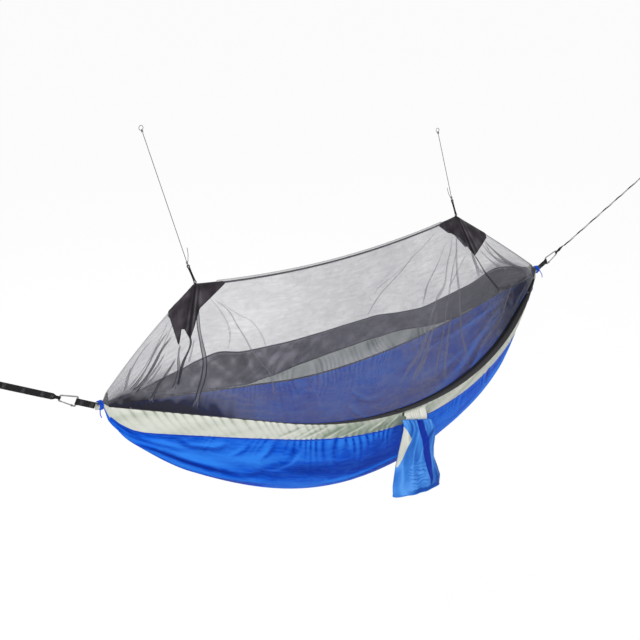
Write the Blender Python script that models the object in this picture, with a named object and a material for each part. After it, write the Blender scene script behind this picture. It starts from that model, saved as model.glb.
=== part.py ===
"""Hammock tent: a gathered-end hammock with a zipped insect net over it, hung by two
carabiners and two tree straps, with two net cords and a stuff sack. Metres, +Z up.

Every shape is laid out from the middle of the hammock: +X runs to the right end, the
zipped side faces -Y. All of it hangs from the empty "hammock_tent", which moves the
left strap's anchor to the origin.
"""
import math

import bmesh
import bpy
from mathutils import Matrix, Vector

# Hammock body, between the two gathered ends
HALF_LENGTH = 1.25
NEAR_START_ANGLE = math.radians(23.4)
NEAR_RADIUS = 1.657
NEAR_TILT = math.radians(43.1)
FAR_START_ANGLE = math.radians(17.6)
FAR_RADIUS = 1.53
FAR_TILT = math.radians(53.2)
BED_DEPTH = 0.743
BED_FULLNESS = 0.793
BED_SKEW_share = 0.159
END_INSET = 0.05
CLOTH = 0.002
SEAM_GAP = 0.0004
SEAM_MITRE_share = 0.6

# Bands sewn along the two long edges
SIDE_BAND = 0.087
FAR_BAND = 0.09
NET_BAND = 0.12
BAND_REACH_share = 0.6
BAND_TAPER = 0.15
BAND_LEAN_share = 0.5

# Net and its ridge
LEFT_PEAK_X = 0.749
RIGHT_PEAK_X = 0.71
PEAK_HEIGHT = 0.361
PEAK_SET_BACK = 0.051
RIDGE_SAG = 0.055
LEFT_SLOPE_BULGE = 0.024
RIGHT_SLOPE_BULGE = 0.008
NET_DRAW_share = 0.05
RIDGE_SEAM = 0.006
RIDGE_TAPE_HEIGHT = 0.01
RIDGE_TAPE_THICK = 0.003
SEAT_GAP = 0.0003

# Zip along the near edge
ZIP_TAPE = 0.065
ZIP_TAPER = 0.25
ZIP_TAPER_POWER_share = 8
BAND_TAPER_POWER_share = 3
ZIP_SLANT = math.radians(33.0)
COIL_WIDTH = 0.007
COIL_THICK = 0.0024
COIL_TOP_share = 0.6
COIL_END_INSET = 0.13
STOP_LENGTH = 0.006
SLIDER_GAP = 0.0007
SLIDER_LENGTH = 0.022
SLIDER_WIDTH = 0.013
SLIDER_THICK = 0.0024
SLIDER_X = 0.045
BRIDGE_RISE = 0.0048
BRIDGE_BAR = 0.0009
BRIDGE_REACH_share = 0.62
BRIDGE_FLAT_share = 0.8
PULL_CORD = 0.0013
PULL_RING = 0.0028
PULL_DROP = 0.024
PULL_CLEARANCE = 0.0035
PULL_GRIP_WIDTH = 0.009
PULL_GRIP_THICK = 0.003
PULL_GRIP_LENGTH_share = 0.6
PULL_CORD_END_share = 0.75

# Folds in the cloth
BED_FOLD = 0.006
BED_FOLD_COUNT = 3.5
BED_FOLD_REACH = 0.55
NET_FOLD = 0.009
NET_FOLD_PITCH = 0.11
NET_FOLD_REACH = 0.3
NET_FOLD_START_share = 0.58

# Gathered ends and the cord wound round them
GATHER_RADIUS = 0.014
GATHER_TAIL = 0.006
WAIST_INSET = 0.023
GATHER_WAIST = HALF_LENGTH - WAIST_INSET
GATHER_GRIP = 0.02
GATHER_FLUTE_share = 0.1
GATHER_FLUTES = 7
GATHER_MIDWAY_share = 0.5
GATHER_DRAWN_share = 0.62
GATHER_FLARE_share = 1.12
WHIP_CORD = 0.004
WHIP_TURNS = 2.5
WHIP_PITCH = 0.0048
WHIP_GAP = 0.0005

# Webbing, carabiners and tree straps
WEBBING_WIDTH = 0.025
WEBBING_THICK = 0.0016
LEFT_LINE_ANGLE = math.radians(27.5)
RIGHT_LINE_ANGLE = math.radians(23.3)
LEFT_LOOP_REACH = 0.094
RIGHT_LOOP_REACH = 0.07
CARABINER_LENGTH = 0.078
CARABINER_BASE_HALF = 0.0195
CARABINER_TOP_HALF = 0.0105
CARABINER_CORNER = 0.0045
BAR_RADIUS = 0.003
EYE_GAP = 0.0004
LUG_RADIUS = 0.0042
LUG_WIDTH = 0.0064
GATE_RADIUS = 0.0024
GATE_TONGUE = 0.0019
TONGUE_share = 0.85
FORK_share = 1.25
NECK_share = 0.65
GATE_PIN_RADIUS = 0.001
GATE_START_share = 0.2
GATE_END_share = 0.84
FIT_GAP = 0.0003
NOSE_GAP = 0.0006
LEFT_STRAP_LENGTH = 0.33
RIGHT_STRAP_LENGTH = 0.80
STRAP_ROLL_RIGHT = math.radians(44.0)
STRAP_TAB_WIDTH = 0.0125
STRAP_FLARE = 0.03
STRAP_UNROLL = 0.07
STRAP_TWIST_share = 0.33
CHAIN_PITCH = 0.1
CHAIN_TACK = 0.012
CHAIN_BULGE = 0.0026
ANCHOR_EYE_LENGTH = 0.05
ANCHOR_EYE_WIDTH = 0.022
ANCHOR_TAB = 0.045

# Net cords and the black loops they are tied to
NET_CORD = 0.003
PEAK_LOOP_CORD = 0.003
PEAK_LOOP_WIDTH = 0.01
PEAK_LOOP_LENGTH = 0.088
PEAK_LOOP_LEAN = math.radians(21.5)
TIE_RING = 0.0055
KNOT_RADIUS = 0.0048
KNOT_LENGTH = 0.014
KNOT_SEAT_share = 0.3
TAIL_LENGTH = 0.06
LEFT_TAIL_SPREAD = math.radians(17.0)
RIGHT_TAIL_SPREAD = math.radians(-9.0)
TAIL_CORD = 0.002
TAIL_EXIT_share = 0.6
TAIL_BEND_share = 0.5
LEFT_CORD_LENGTH = 0.56
LEFT_CORD_LEAN = math.radians(17.4)
RIGHT_CORD_LENGTH = 0.32
RIGHT_CORD_LEAN = math.radians(17.7)
TOP_LOOP_RADIUS = 0.009
TIE_GAP = 0.0006

# Cloth patches at the two peaks
PATCH_CLOTH = 0.0012
LEFT_PATCH_SLOPE = 0.14
LEFT_PATCH_RIDGE = 0.137
LEFT_PATCH_DROP = 0.155
RIGHT_PATCH_SLOPE = 0.185
RIGHT_PATCH_RIDGE = 0.11
RIGHT_PATCH_DROP = 0.15
PATCH_LOW_SHIFT_share = 0.62
PATCH_EDGE = 0.006
PATCH_LIFT = 0.0026
PATCH_SEAM_LIFT = 0.0006
PATCH_MITRE_share = 0.4

# Stuff sack sewn to the near edge
SACK_X = 0.12
SACK_TOP_HALF = 0.09
SACK_LOW_HALF = 0.15
SACK_HEIGHT = 0.34
SACK_TOP_DROP = 0.052
SACK_TOP_DEPTH = 0.003
SACK_MOUTH_DEPTH = 0.034
SACK_WALL = 0.0016
SACK_TILT = math.radians(-10.0)
SACK_STAND_OFF = 0.003
SACK_FLARE_POWER_share = 0.8
SACK_STRIPE_END_share = 0.3
SACK_TAB_SPREAD = 0.05
SACK_TRIM_LIFT = 0.0004
SACK_STRIPE_TOP = 0.024
SACK_STRIPE_LOW = 0.03
SACK_TRIM = 0.001
TAB_WIDTH = 0.012
TAB_THICK = 0.0014
TAB_OVERLAP = 0.012
TAB_START = 0.006
TAB_FOLLOW = 0.02

# Counts
STATIONS = 38
BED_STEPS = 10
BAND_STEPS = 2
NET_STEPS = 5
BEZIER_STEPS = 48
TUBE_SIDES_LOW = 1
TUBE_SIDES = 2
WINDING_POINTS = 24
FLUTE_POINTS = 28
SACK_POINTS = 28
SACK_RINGS = 5
CORNER_POINTS = 5
EYE_POINTS = 16
CHAIN_POINTS = 5
SLIDER_STEPS = 4
PATCH_STEPS = 3
LOOP_POINTS = 8
CORD_STEPS = 8
SACK_EDGE_STEPS = (-1, 0, 1, 2)
SACK_EDGE_RINGS = 4
PIN_SEGMENTS = 12
TONGUE_POINTS = 6
KNOT_SEGMENTS = 10
KNOT_RINGS = 6
SHARP_ANGLE = math.radians(40)
FLATNESS = 0.00001
WELD_share = 0.01
TINY_share = 0.001

COLOURS = {
    "blue_nylon": ((0.006, 0.05, 0.55), 0.42, 0.0),
    "sage_nylon": ((0.5, 0.55, 0.46), 0.5, 0.0),
    "dark_nylon": ((0.06, 0.055, 0.065), 0.55, 0.0),
    "net": ((0.2, 0.2, 0.21), 0.7, 0.0),
    "black_tape": ((0.012, 0.012, 0.013), 0.6, 0.0),
    "grey_metal": ((0.12, 0.12, 0.13), 0.35, 1.0),
    "webbing": ((0.014, 0.014, 0.015), 0.75, 0.0),
    "grey_cord": ((0.3, 0.3, 0.31), 0.6, 0.0),
    "blue_cord": ((0.01, 0.07, 0.6), 0.5, 0.0),
    "sack_blue": ((0.03, 0.2, 0.75), 0.45, 0.0),
    "stripe_blue": ((0.006, 0.02, 0.3), 0.45, 0.0),
}


def clear_scene():
    """Remove every object that the file starts with."""
    for old in list(bpy.data.objects):
        bpy.data.objects.remove(old)


def material(name):
    """Return the named material, made the first time it is asked for."""
    found = bpy.data.materials.get(name)
    if found:
        return found
    colour, rough, metal = COLOURS[name]
    made = bpy.data.materials.new(name)
    made.use_nodes = True
    shader = made.node_tree.nodes["Principled BSDF"]
    shader.inputs["Base Color"].default_value = (*colour, 1.0)
    shader.inputs["Roughness"].default_value = rough
    shader.inputs["Metallic"].default_value = metal
    return made


def empty(name, place, parent=None):
    """Add an empty at a place given in the layout's frame."""
    made = bpy.data.objects.new(name, None)
    bpy.context.scene.collection.objects.link(made)
    if parent is None:
        made.location = place
    else:
        made.parent = parent
        made.location = Vector(place) - layout_place(parent)
    made["layout"] = list(place)
    return made


def layout_place(holder):
    """Where an empty stands in the layout's frame."""
    return Vector((0, 0, 0)) if holder.name == "hammock_tent" else Vector(holder["layout"])


def face_out(bm):
    """Point every face of a closed skin outwards."""
    bmesh.ops.recalc_face_normals(bm, faces=bm.faces)
    if bm.calc_volume(signed=True) < 0:
        bmesh.ops.reverse_faces(bm, faces=bm.faces)


def add(name, bm, finish, parent, smooth=True):
    """Make an object from a bmesh in the layout's frame, under its parent empty."""
    face_out(bm)
    bmesh.ops.translate(bm, verts=bm.verts, vec=-layout_place(parent))
    mesh = bpy.data.meshes.new(name)
    bm.to_mesh(mesh)
    bm.free()
    mesh.materials.append(material(finish))
    if smooth:
        mesh.shade_smooth()
        mesh.set_sharp_from_angle(angle=SHARP_ANGLE)
    made = bpy.data.objects.new(name, mesh)
    made.parent = parent
    bpy.context.scene.collection.objects.link(made)
    return made


def tube_bmesh(points, radius, sides=TUBE_SIDES, cyclic=False):
    """A closed tube along points, from a bevelled poly curve."""
    curve = bpy.data.curves.new("tube", "CURVE")
    curve.dimensions = "3D"
    curve.bevel_depth = radius
    curve.bevel_resolution = sides
    curve.use_fill_caps = not cyclic
    spline = curve.splines.new("POLY")
    spline.points.add(len(points) - 1)
    for spot, point in zip(spline.points, points):
        spot.co = (*point, 1.0)
    spline.use_cyclic_u = cyclic
    holder = bpy.data.objects.new("tube", curve)
    bpy.context.scene.collection.objects.link(holder)
    mesh = bpy.data.meshes.new_from_object(holder.evaluated_get(bpy.context.evaluated_depsgraph_get()))
    bm = bmesh.new()
    bm.from_mesh(mesh)
    bmesh.ops.remove_doubles(bm, verts=bm.verts, dist=radius * WELD_share)
    bpy.data.objects.remove(holder)
    bpy.data.curves.remove(curve)
    bpy.data.meshes.remove(mesh)
    return bm


def joined(first, others, operation="UNION"):
    """The exact union or difference of bmeshes, the others taken one after another."""
    holders = []
    middle = sum((v.co for v in first.verts), Vector()) / len(first.verts)
    for bm in [first, *others]:
        face_out(bm)
        bmesh.ops.translate(bm, verts=bm.verts, vec=-middle)
        mesh = bpy.data.meshes.new("piece")
        bm.to_mesh(mesh)
        bm.free()
        holder = bpy.data.objects.new("piece", mesh)
        bpy.context.scene.collection.objects.link(holder)
        holders.append(holder)
    for other in holders[1:]:
        change = holders[0].modifiers.new("join", "BOOLEAN")
        change.operation = operation
        change.object = other
    graph = bpy.context.evaluated_depsgraph_get()
    mesh = bpy.data.meshes.new_from_object(holders[0].evaluated_get(graph))
    result = bmesh.new()
    result.from_mesh(mesh)
    bmesh.ops.translate(result, verts=result.verts, vec=middle)
    for holder in holders:
        bpy.data.objects.remove(holder)
    return result


def cylinder_bmesh(centre, axis, radius, length, segments=16):
    """A cylinder of a given length about its centre."""
    bm = bmesh.new()
    bmesh.ops.create_cone(bm, cap_ends=True, segments=segments, radius1=radius, radius2=radius, depth=length)
    turn = Vector((0, 0, 1)).rotation_difference(Vector(axis)).to_matrix().to_4x4()
    bmesh.ops.transform(bm, verts=bm.verts, matrix=Matrix.Translation(centre) @ turn)
    return bm


def box_bmesh(centre, axes, sizes):
    """A box of given sizes along three unit axes."""
    bm = bmesh.new()
    bmesh.ops.create_cube(bm, size=1.0)
    turn = Matrix([axis.normalized() for axis in axes]).transposed().to_4x4()
    scale = Matrix.Diagonal((*sizes, 1.0))
    bmesh.ops.transform(bm, verts=bm.verts, matrix=Matrix.Translation(centre) @ turn @ scale)
    return bm


def rings_bmesh(rings, closed_ends=True):
    """Bridge rings of equal counts into a skin, with its first and last ring capped."""
    bm = bmesh.new()
    rows = [[bm.verts.new(point) for point in ring] for ring in rings]
    for first, second in zip(rows, rows[1:]):
        for i in range(len(first)):
            j = (i + 1) % len(first)
            bm.faces.new((first[i], first[j], second[j], second[i]))
    if closed_ends:
        bm.faces.new(rows[0])
        bm.faces.new(list(reversed(rows[-1])))
    return bm


def slab_bmesh(grid, offsets):
    """A closed sheet of cloth: a grid of points thickened by an offset vector at each."""
    bm = bmesh.new()
    upper = [[bm.verts.new(p + o) for p, o in zip(row, shift)] for row, shift in zip(grid, offsets)]
    lower = [[bm.verts.new(p - o) for p, o in zip(row, shift)] for row, shift in zip(grid, offsets)]
    rows, columns = len(grid), len(grid[0])
    for i in range(rows - 1):
        for j in range(columns - 1):
            bm.faces.new((upper[i][j], upper[i + 1][j], upper[i + 1][j + 1], upper[i][j + 1]))
            bm.faces.new((lower[i][j], lower[i][j + 1], lower[i + 1][j + 1], lower[i + 1][j]))
    for i in range(rows - 1):
        bm.faces.new((upper[i][0], lower[i][0], lower[i + 1][0], upper[i + 1][0]))
        bm.faces.new((upper[i][-1], upper[i + 1][-1], lower[i + 1][-1], lower[i][-1]))
    for j in range(columns - 1):
        bm.faces.new((upper[0][j], upper[0][j + 1], lower[0][j + 1], lower[0][j]))
        bm.faces.new((upper[-1][j], lower[-1][j], lower[-1][j + 1], upper[-1][j + 1]))
    return bm


def ease(x, reach, power):
    """1 away from an end, falling smoothly to 0 at it, later with a higher power."""
    return (1 + (reach / max(x, reach * TINY_share)) ** power) ** (-1 / power)


class Edge:
    """A long edge in one tilted plane: straight from the left end, then a round arc to the right end."""

    def __init__(self, angle, radius, tilt, side):
        self.tan = math.tan(angle)
        self.radius = radius
        self.out = Vector((0, side * math.cos(tilt), -math.sin(tilt)))
        run = 2 * HALF_LENGTH * math.cos(angle) - 2 * math.sqrt(
            HALF_LENGTH * math.sin(angle) * (radius - HALF_LENGTH * math.sin(angle)))
        self.touch = -HALF_LENGTH + run * math.cos(angle)
        self.centre_x = self.touch + radius * math.sin(angle)
        self.centre_v = run * math.sin(angle) - radius * math.cos(angle)

    def at(self, x):
        """The edge's point at a place along the hammock."""
        if x < self.touch:
            spread = (x + HALF_LENGTH) * self.tan
        else:
            spread = self.centre_v + math.sqrt(max(self.radius ** 2 - (x - self.centre_x) ** 2, 0))
        return Vector((x, 0, 0)) + self.out * spread

    def centre(self):
        """The arc's centre."""
        return Vector((self.centre_x, 0, 0)) + self.out * self.centre_v


NEAR = Edge(NEAR_START_ANGLE, NEAR_RADIUS, NEAR_TILT, -1)
FAR = Edge(FAR_START_ANGLE, FAR_RADIUS, FAR_TILT, 1)
ZIP_AXIS = Vector((1, 0, 0)).cross(NEAR.out).normalized() * -1


def zip_frame(x):
    """At a place along the zip: its inward direction across the tape and the tape's upper normal."""
    radial = (NEAR.at(x) - NEAR.centre()).normalized() if x > NEAR.touch else (
        NEAR.at(NEAR.touch) - NEAR.centre()).normalized()
    inward = -(math.sin(ZIP_SLANT) * radial + math.cos(ZIP_SLANT) * ZIP_AXIS)
    upper = math.cos(ZIP_SLANT) * radial - math.sin(ZIP_SLANT) * ZIP_AXIS
    along = inward.cross(upper).normalized()
    if along.x < 0:
        along = -along
    return inward.normalized(), -upper.normalized(), along


def end_distance(x):
    """Distance to the nearer gathered end."""
    return HALF_LENGTH - abs(x)


def bottom(x):
    """The lowest line of the bed."""
    u = x / HALF_LENGTH
    return Vector((x, 0, -BED_DEPTH * (1 - u * u) ** BED_FULLNESS * (1 + BED_SKEW_share * u)))


def ridge(x):
    """The net's top line: the ridge between the peaks and a slope down to each gathered end."""
    if -LEFT_PEAK_X <= x <= RIGHT_PEAK_X:
        middle = (RIGHT_PEAK_X - LEFT_PEAK_X) / 2
        half = (RIGHT_PEAK_X + LEFT_PEAK_X) / 2
        drop = RIDGE_SAG * (1 - ((x - middle) / half) ** 2)
        return Vector((x, PEAK_SET_BACK, PEAK_HEIGHT - drop))
    peak, bulge = (LEFT_PEAK_X, LEFT_SLOPE_BULGE) if x < 0 else (RIGHT_PEAK_X, RIGHT_SLOPE_BULGE)
    along = end_distance(x) / (HALF_LENGTH - peak)
    return Vector((x, PEAK_SET_BACK * along, PEAK_HEIGHT * along + 4 * bulge * along * (1 - along)))


def along_line(points, lengths):
    """Points at given lengths along a polyline."""
    travelled = [0.0]
    for a, b in zip(points, points[1:]):
        travelled.append(travelled[-1] + (b - a).length)
    found, i = [], 0
    for want in lengths:
        want = min(max(want, 0.0), travelled[-1])
        while i < len(points) - 2 and travelled[i + 1] < want:
            i += 1
        step = travelled[i + 1] - travelled[i]
        found.append(points[i].lerp(points[i + 1], (want - travelled[i]) / step))
    return found


def line_length(points):
    """Length of a polyline."""
    return sum((b - a).length for a, b in zip(points, points[1:]))


def even(points, steps, start=0.0, stop=None):
    """A polyline cut anew into equal steps between two lengths along it."""
    stop = line_length(points) if stop is None else stop
    return along_line(points, [start + (stop - start) * k / steps for k in range(steps + 1)])


def bed_fold(x, share):
    """Height of the long folds that run from the gathered ends into the bed."""
    near_end = max(0.0, 1 - end_distance(x) / BED_FOLD_REACH)
    fade = math.sin(math.pi * share) * near_end * (1 - near_end) * 4
    return BED_FOLD * fade * math.cos(2 * math.pi * BED_FOLD_COUNT * share)


def net_fold(x, share):
    """Height of the pleats that fan down the net under each peak."""
    height = 0.0
    for peak in (-LEFT_PEAK_X, RIGHT_PEAK_X):
        away = (x - peak) / NET_FOLD_REACH
        height += max(0.0, 1 - away * away) ** 2 * math.cos(2 * math.pi * (x - peak) / NET_FOLD_PITCH)
    below = max(0.0, share - NET_FOLD_START_share) / (1 - NET_FOLD_START_share)
    return NET_FOLD * math.sin(math.pi * below) * height


def section(x):
    """The closed loop of cloth at one place along the hammock, panel by panel.

    It starts at the near edge and goes down the near band, under the bed, up the far
    side, over the ridge and down the near side of the net to the zip.
    """
    near, far, low, top = NEAR.at(x), FAR.at(x), bottom(x), ridge(x)
    control = 2 * low - (near + far) / 2
    shares = [k / BEZIER_STEPS for k in range(BEZIER_STEPS + 1)]
    under = [(1 - k) ** 2 * near + 2 * k * (1 - k) * control + k * k * far for k in shares]
    band = SIDE_BAND * ease(end_distance(x), BAND_TAPER, BAND_TAPER_POWER_share)
    reach = (top - far).length
    wanted = FAR_BAND + NET_BAND
    fit = (1 + (wanted / (BAND_REACH_share * reach)) ** 4) ** (-1 / 4)
    rise = (far - control).normalized()
    upper = far + rise * FAR_BAND * fit
    lean = (rise * (1 - BAND_LEAN_share) + (top - upper).normalized() * BAND_LEAN_share).normalized()
    shoulder = upper + lean * NET_BAND * fit
    inward, _, _ = zip_frame(x)
    tape = ZIP_TAPE * ease(end_distance(x), ZIP_TAPER, ZIP_TAPER_POWER_share)
    middle = near + inward * tape / 2
    inner = near + inward * tape
    draw = NET_DRAW_share * abs(shoulder.y - inner.y)
    seam = Vector((0, RIDGE_SEAM / 2, 0))
    panels = {
        "near_side_band": even(under, BAND_STEPS, 0, band),
        "bed_panel": even(under, BED_STEPS, band),
        "far_side_band": even([far, upper], BAND_STEPS),
        "far_net_band": even([upper, shoulder], BAND_STEPS),
        "far_net": bowed(shoulder, top + seam, draw, NET_STEPS, -1),
        "ridge_seam": [top + seam, top - seam],
        "near_net": bowed(top - seam, inner, draw, NET_STEPS, 1),
        "zip_tape_inner": [inner, middle],
        "zip_tape_outer": [middle, near],
    }
    return panels


def bowed(start, end, depth, steps, side):
    """A line drawn in towards the tent's middle by its own tension."""
    points = []
    for k in range(steps + 1):
        share = k / steps
        inwards = Vector((0, side, 0)) * depth * math.sin(math.pi * share)
        points.append(start.lerp(end, share) + inwards)
    return points


def stations():
    """Places along the hammock where its cloth is laid out, with the peaks among them."""
    reach = HALF_LENGTH - END_INSET
    places = [-reach + 2 * reach * k / (STATIONS - 1) for k in range(STATIONS)]
    for peak in (-LEFT_PEAK_X, RIGHT_PEAK_X):
        nearest = min(range(1, STATIONS - 1), key=lambda i: abs(places[i] - peak))
        places[nearest] = peak
    return places


def cloth_layout():
    """Mid-surface grids and thickness offsets of every panel, cut to meet at mitred seams."""
    places = stations()
    sections = [section(x) for x in places]
    names = list(sections[0])
    loops, marks = [], []
    for panels in sections:
        loop = []
        for name in names:
            loop.extend(panels[name][:-1])
        loops.append(loop)
    columns = 0
    for name in names:
        marks.append(columns)
        columns += len(sections[0][name]) - 1
    rows = len(loops)
    offsets, halves = [], []
    for i in range(rows):
        along = [loops[min(i + 1, rows - 1)][j] - loops[max(i - 1, 0)][j] for j in range(columns)]
        row, half = [], []
        for j in range(columns):
            before = (loops[i][j] - loops[i][j - 1]).normalized()
            after = (loops[i][(j + 1) % columns] - loops[i][j]).normalized()
            tangent = (before + after).normalized()
            turn = max(tangent.dot(after), SEAM_MITRE_share)
            normal = along[j].cross(tangent).normalized()
            if i in (0, rows - 1):
                normal = Vector((0, normal.y, normal.z)).normalized()
            row.append(normal / turn)
            half.append(turn)
        offsets.append(row)
        halves.append(half)
    middle = sum((p for p in loops[rows // 2]), Vector()) / columns
    facing = sum((p - middle).dot(o) for p, o in zip(loops[rows // 2], offsets[rows // 2]))
    if facing < 0:
        offsets = [[-o for o in row] for row in offsets]
    layout = {}
    for name, mark in zip(names, marks):
        count = len(sections[0][name])
        grid, shift = [], []
        for i, x in enumerate(places):
            picks = [(mark + k) % columns for k in range(count)]
            points = [loops[i][j].copy() for j in picks]
            normals = [offsets[i][j] for j in picks]
            for k in range(count):
                share = k / (count - 1)
                if name == "bed_panel":
                    points[k] = points[k] + normals[k] * bed_fold(x, share)
                if name == "near_net":
                    points[k] = points[k] + normals[k] * net_fold(x, share)
                if name == "far_net":
                    points[k] = points[k] + normals[k] * net_fold(x, 1 - share)
            first = (points[1] - points[0]).normalized() * SEAM_GAP / 2 / halves[i][picks[0]]
            last = (points[-2] - points[-1]).normalized() * SEAM_GAP / 2 / halves[i][picks[-1]]
            points[0] = points[0] + first
            points[-1] = points[-1] + last
            grid.append(points)
            shift.append([n * CLOTH / 2 for n in normals])
        layout[name] = (grid, shift)
    return places, layout


PANEL_FINISH = {
    "near_side_band": "sage_nylon",
    "bed_panel": "blue_nylon",
    "far_side_band": "sage_nylon",
    "far_net_band": "dark_nylon",
    "far_net": "net",
    "near_net": "net",
    "ridge_seam": "net",
    "zip_tape_inner": "black_tape",
    "zip_tape_outer": "black_tape",
}


def make_cloth(parent):
    """The bed, its bands, the zip tapes and the two sides of the net."""
    places, layout = cloth_layout()
    for name, (grid, shift) in layout.items():
        add(name, slab_bmesh(grid, shift), PANEL_FINISH[name], parent)
    return places, layout


def make_ridge_tape(parent):
    """The dark tape along the ridge, between the two peak patches."""
    start, stop = -LEFT_PEAK_X + LEFT_PATCH_RIDGE, RIGHT_PEAK_X - RIGHT_PATCH_RIDGE
    inside = [x for x in stations() if start < x < stop]
    margin = PATCH_EDGE
    between = [x for x in inside if start + 2 * margin < x < stop - 2 * margin]
    places = [start + margin, *between, stop - margin]
    lift = CLOTH / 2 + SEAT_GAP
    rings = []
    for x in places:
        foot = ridge_chord(x) + Vector((0, 0, lift))
        across, high = Vector((0, RIDGE_TAPE_THICK / 2, 0)), Vector((0, 0, RIDGE_TAPE_HEIGHT))
        rings.append([foot - across, foot + across, foot + across + high, foot - across + high])
    add("ridge_tape", rings_bmesh(rings), "black_tape", parent)


def ridge_chord(x):
    """The ridge as the cloth's own straight steps follow it."""
    places = stations()
    for a, b in zip(places, places[1:]):
        if a <= x <= b:
            return ridge(a).lerp(ridge(b), (x - a) / (b - a))
    return ridge(x)


def zip_point(x, across, up):
    """A point of the zip: across the tape from its middle, and up from its middle surface."""
    inward, upper, _ = zip_frame(x)
    tape = ZIP_TAPE * ease(end_distance(x), ZIP_TAPER, ZIP_TAPER_POWER_share)
    return NEAR.at(x) + inward * (tape / 2 + across) + upper * up


def make_coil(parent):
    """The zip's coil over the seam of its two tapes, and a metal stop at each of its ends."""
    reach = HALF_LENGTH - COIL_END_INSET
    inside = [x for x in stations() if abs(x) < reach - STOP_LENGTH]
    low, half = CLOTH / 2 + SEAT_GAP, COIL_WIDTH / 2
    top = half * COIL_TOP_share
    outline = [(-half, low), (half, low), (top, low + COIL_THICK), (-top, low + COIL_THICK)]

    def swept(name, places, finish):
        rings = [[zip_chord(x, across, up) for across, up in outline] for x in places]
        add(name, rings_bmesh(rings), finish, parent)

    swept("zip_coil", [-reach, *inside, reach], "black_tape")
    for name, side in (("zip_stop_left", -1), ("zip_stop_right", 1)):
        near_end, far_end = reach + SEAT_GAP, reach + SEAT_GAP + STOP_LENGTH
        places = sorted((side * near_end, side * far_end))
        swept(name, places, "grey_metal")


def zip_chord(x, across, up):
    """A point of the zip on the straight steps that its tapes follow."""
    places = stations()
    for a, b in zip(places, places[1:]):
        if a <= x <= b:
            return zip_point(a, across, up).lerp(zip_point(b, across, up), (x - a) / (b - a))
    return zip_point(x, across, up)


def arc_place(angle, across, up):
    """A point beside the zip, turned about the near arc's axis from the slider's rest place."""
    turn = Matrix.Rotation(angle, 3, ZIP_AXIS)
    return NEAR.centre() + turn @ (zip_point(SLIDER_X, across, up) - NEAR.centre())


def make_slider(parent):
    """The zip's slider, a channel over the coil with a bridge, and the pull that hangs from it."""
    slide = empty("zip_arc_axis", NEAR.centre(), parent)
    wide = SLIDER_WIDTH / 2
    inner = COIL_WIDTH / 2 + SLIDER_GAP
    base = CLOTH / 2 + SLIDER_GAP
    roof = CLOTH / 2 + SEAT_GAP + COIL_THICK + SLIDER_GAP
    crown = roof + SLIDER_THICK
    outline = [(-wide, base), (-inner, base), (-inner, roof), (inner, roof), (inner, base), (wide, base),
               (wide, roof), (inner, crown), (-inner, crown), (-wide, roof)]
    half = SLIDER_LENGTH / 2 / NEAR_RADIUS
    rings = []
    for k in range(SLIDER_STEPS + 1):
        angle = -half + 2 * half * k / SLIDER_STEPS
        rings.append([arc_place(angle, across, up) for across, up in outline])
    body = rings_bmesh(rings)
    high = crown + BRIDGE_RISE
    sunk = crown - SLIDER_THICK / 2
    reach = half * BRIDGE_REACH_share
    flat = reach * BRIDGE_FLAT_share
    bridge = [arc_place(-reach, 0, sunk), arc_place(-reach, 0, high - BRIDGE_BAR), arc_place(-flat, 0, high),
              arc_place(flat, 0, high), arc_place(reach, 0, high - BRIDGE_BAR), arc_place(reach, 0, sunk)]
    add("zip_slider", joined(body, [tube_bmesh(bridge, BRIDGE_BAR, TUBE_SIDES_LOW)]), "black_tape", slide)
    bar = arc_place(0, 0, high)
    pull = empty("zip_bridge_axis", bar, slide)
    inward, upper, _ = zip_frame(SLIDER_X)
    outside = -inward
    held = bar + outside * (PULL_RING - PULL_CORD / 2 - BRIDGE_BAR - SEAT_GAP)
    ring = [held + PULL_RING * (math.cos(a) * inward + math.sin(a) * upper)
            for a in (2 * math.pi * k / EYE_POINTS for k in range(EYE_POINTS))]
    ring_skin = tube_bmesh(ring, PULL_CORD / 2, TUBE_SIDES_LOW, cyclic=True)
    edge = NEAR.at(SLIDER_X)
    over = edge + upper * (high - PULL_CORD) + outside * PULL_CLEARANCE
    down = Vector((0, 0, -1))
    beyond = over + outside * 2 * PULL_CORD
    path = [held + outside * PULL_RING, over, beyond + down * 2 * PULL_CORD,
            beyond + down * (PULL_DROP * PULL_CORD_END_share)]
    cord = tube_bmesh(path, PULL_CORD, TUBE_SIDES_LOW)
    grip_centre = beyond + down * (PULL_DROP - PULL_GRIP_WIDTH / 2)
    grip = box_bmesh(grip_centre, (Vector((1, 0, 0)), Vector((0, 1, 0)), Vector((0, 0, 1))),
                     (PULL_GRIP_WIDTH, PULL_GRIP_THICK, PULL_DROP * PULL_GRIP_LENGTH_share))
    add("zip_pull", joined(ring_skin, [cord, grip]), "black_tape", pull)


def row_between(rows, places, x):
    """A row of cloth points at any place, on the straight steps between two stations."""
    for i in range(len(places) - 1):
        if places[i] <= x <= places[i + 1]:
            share = (x - places[i]) / (places[i + 1] - places[i])
            return [a.lerp(b, share) for a, b in zip(rows[i], rows[i + 1])]
    return rows[-1]


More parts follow.
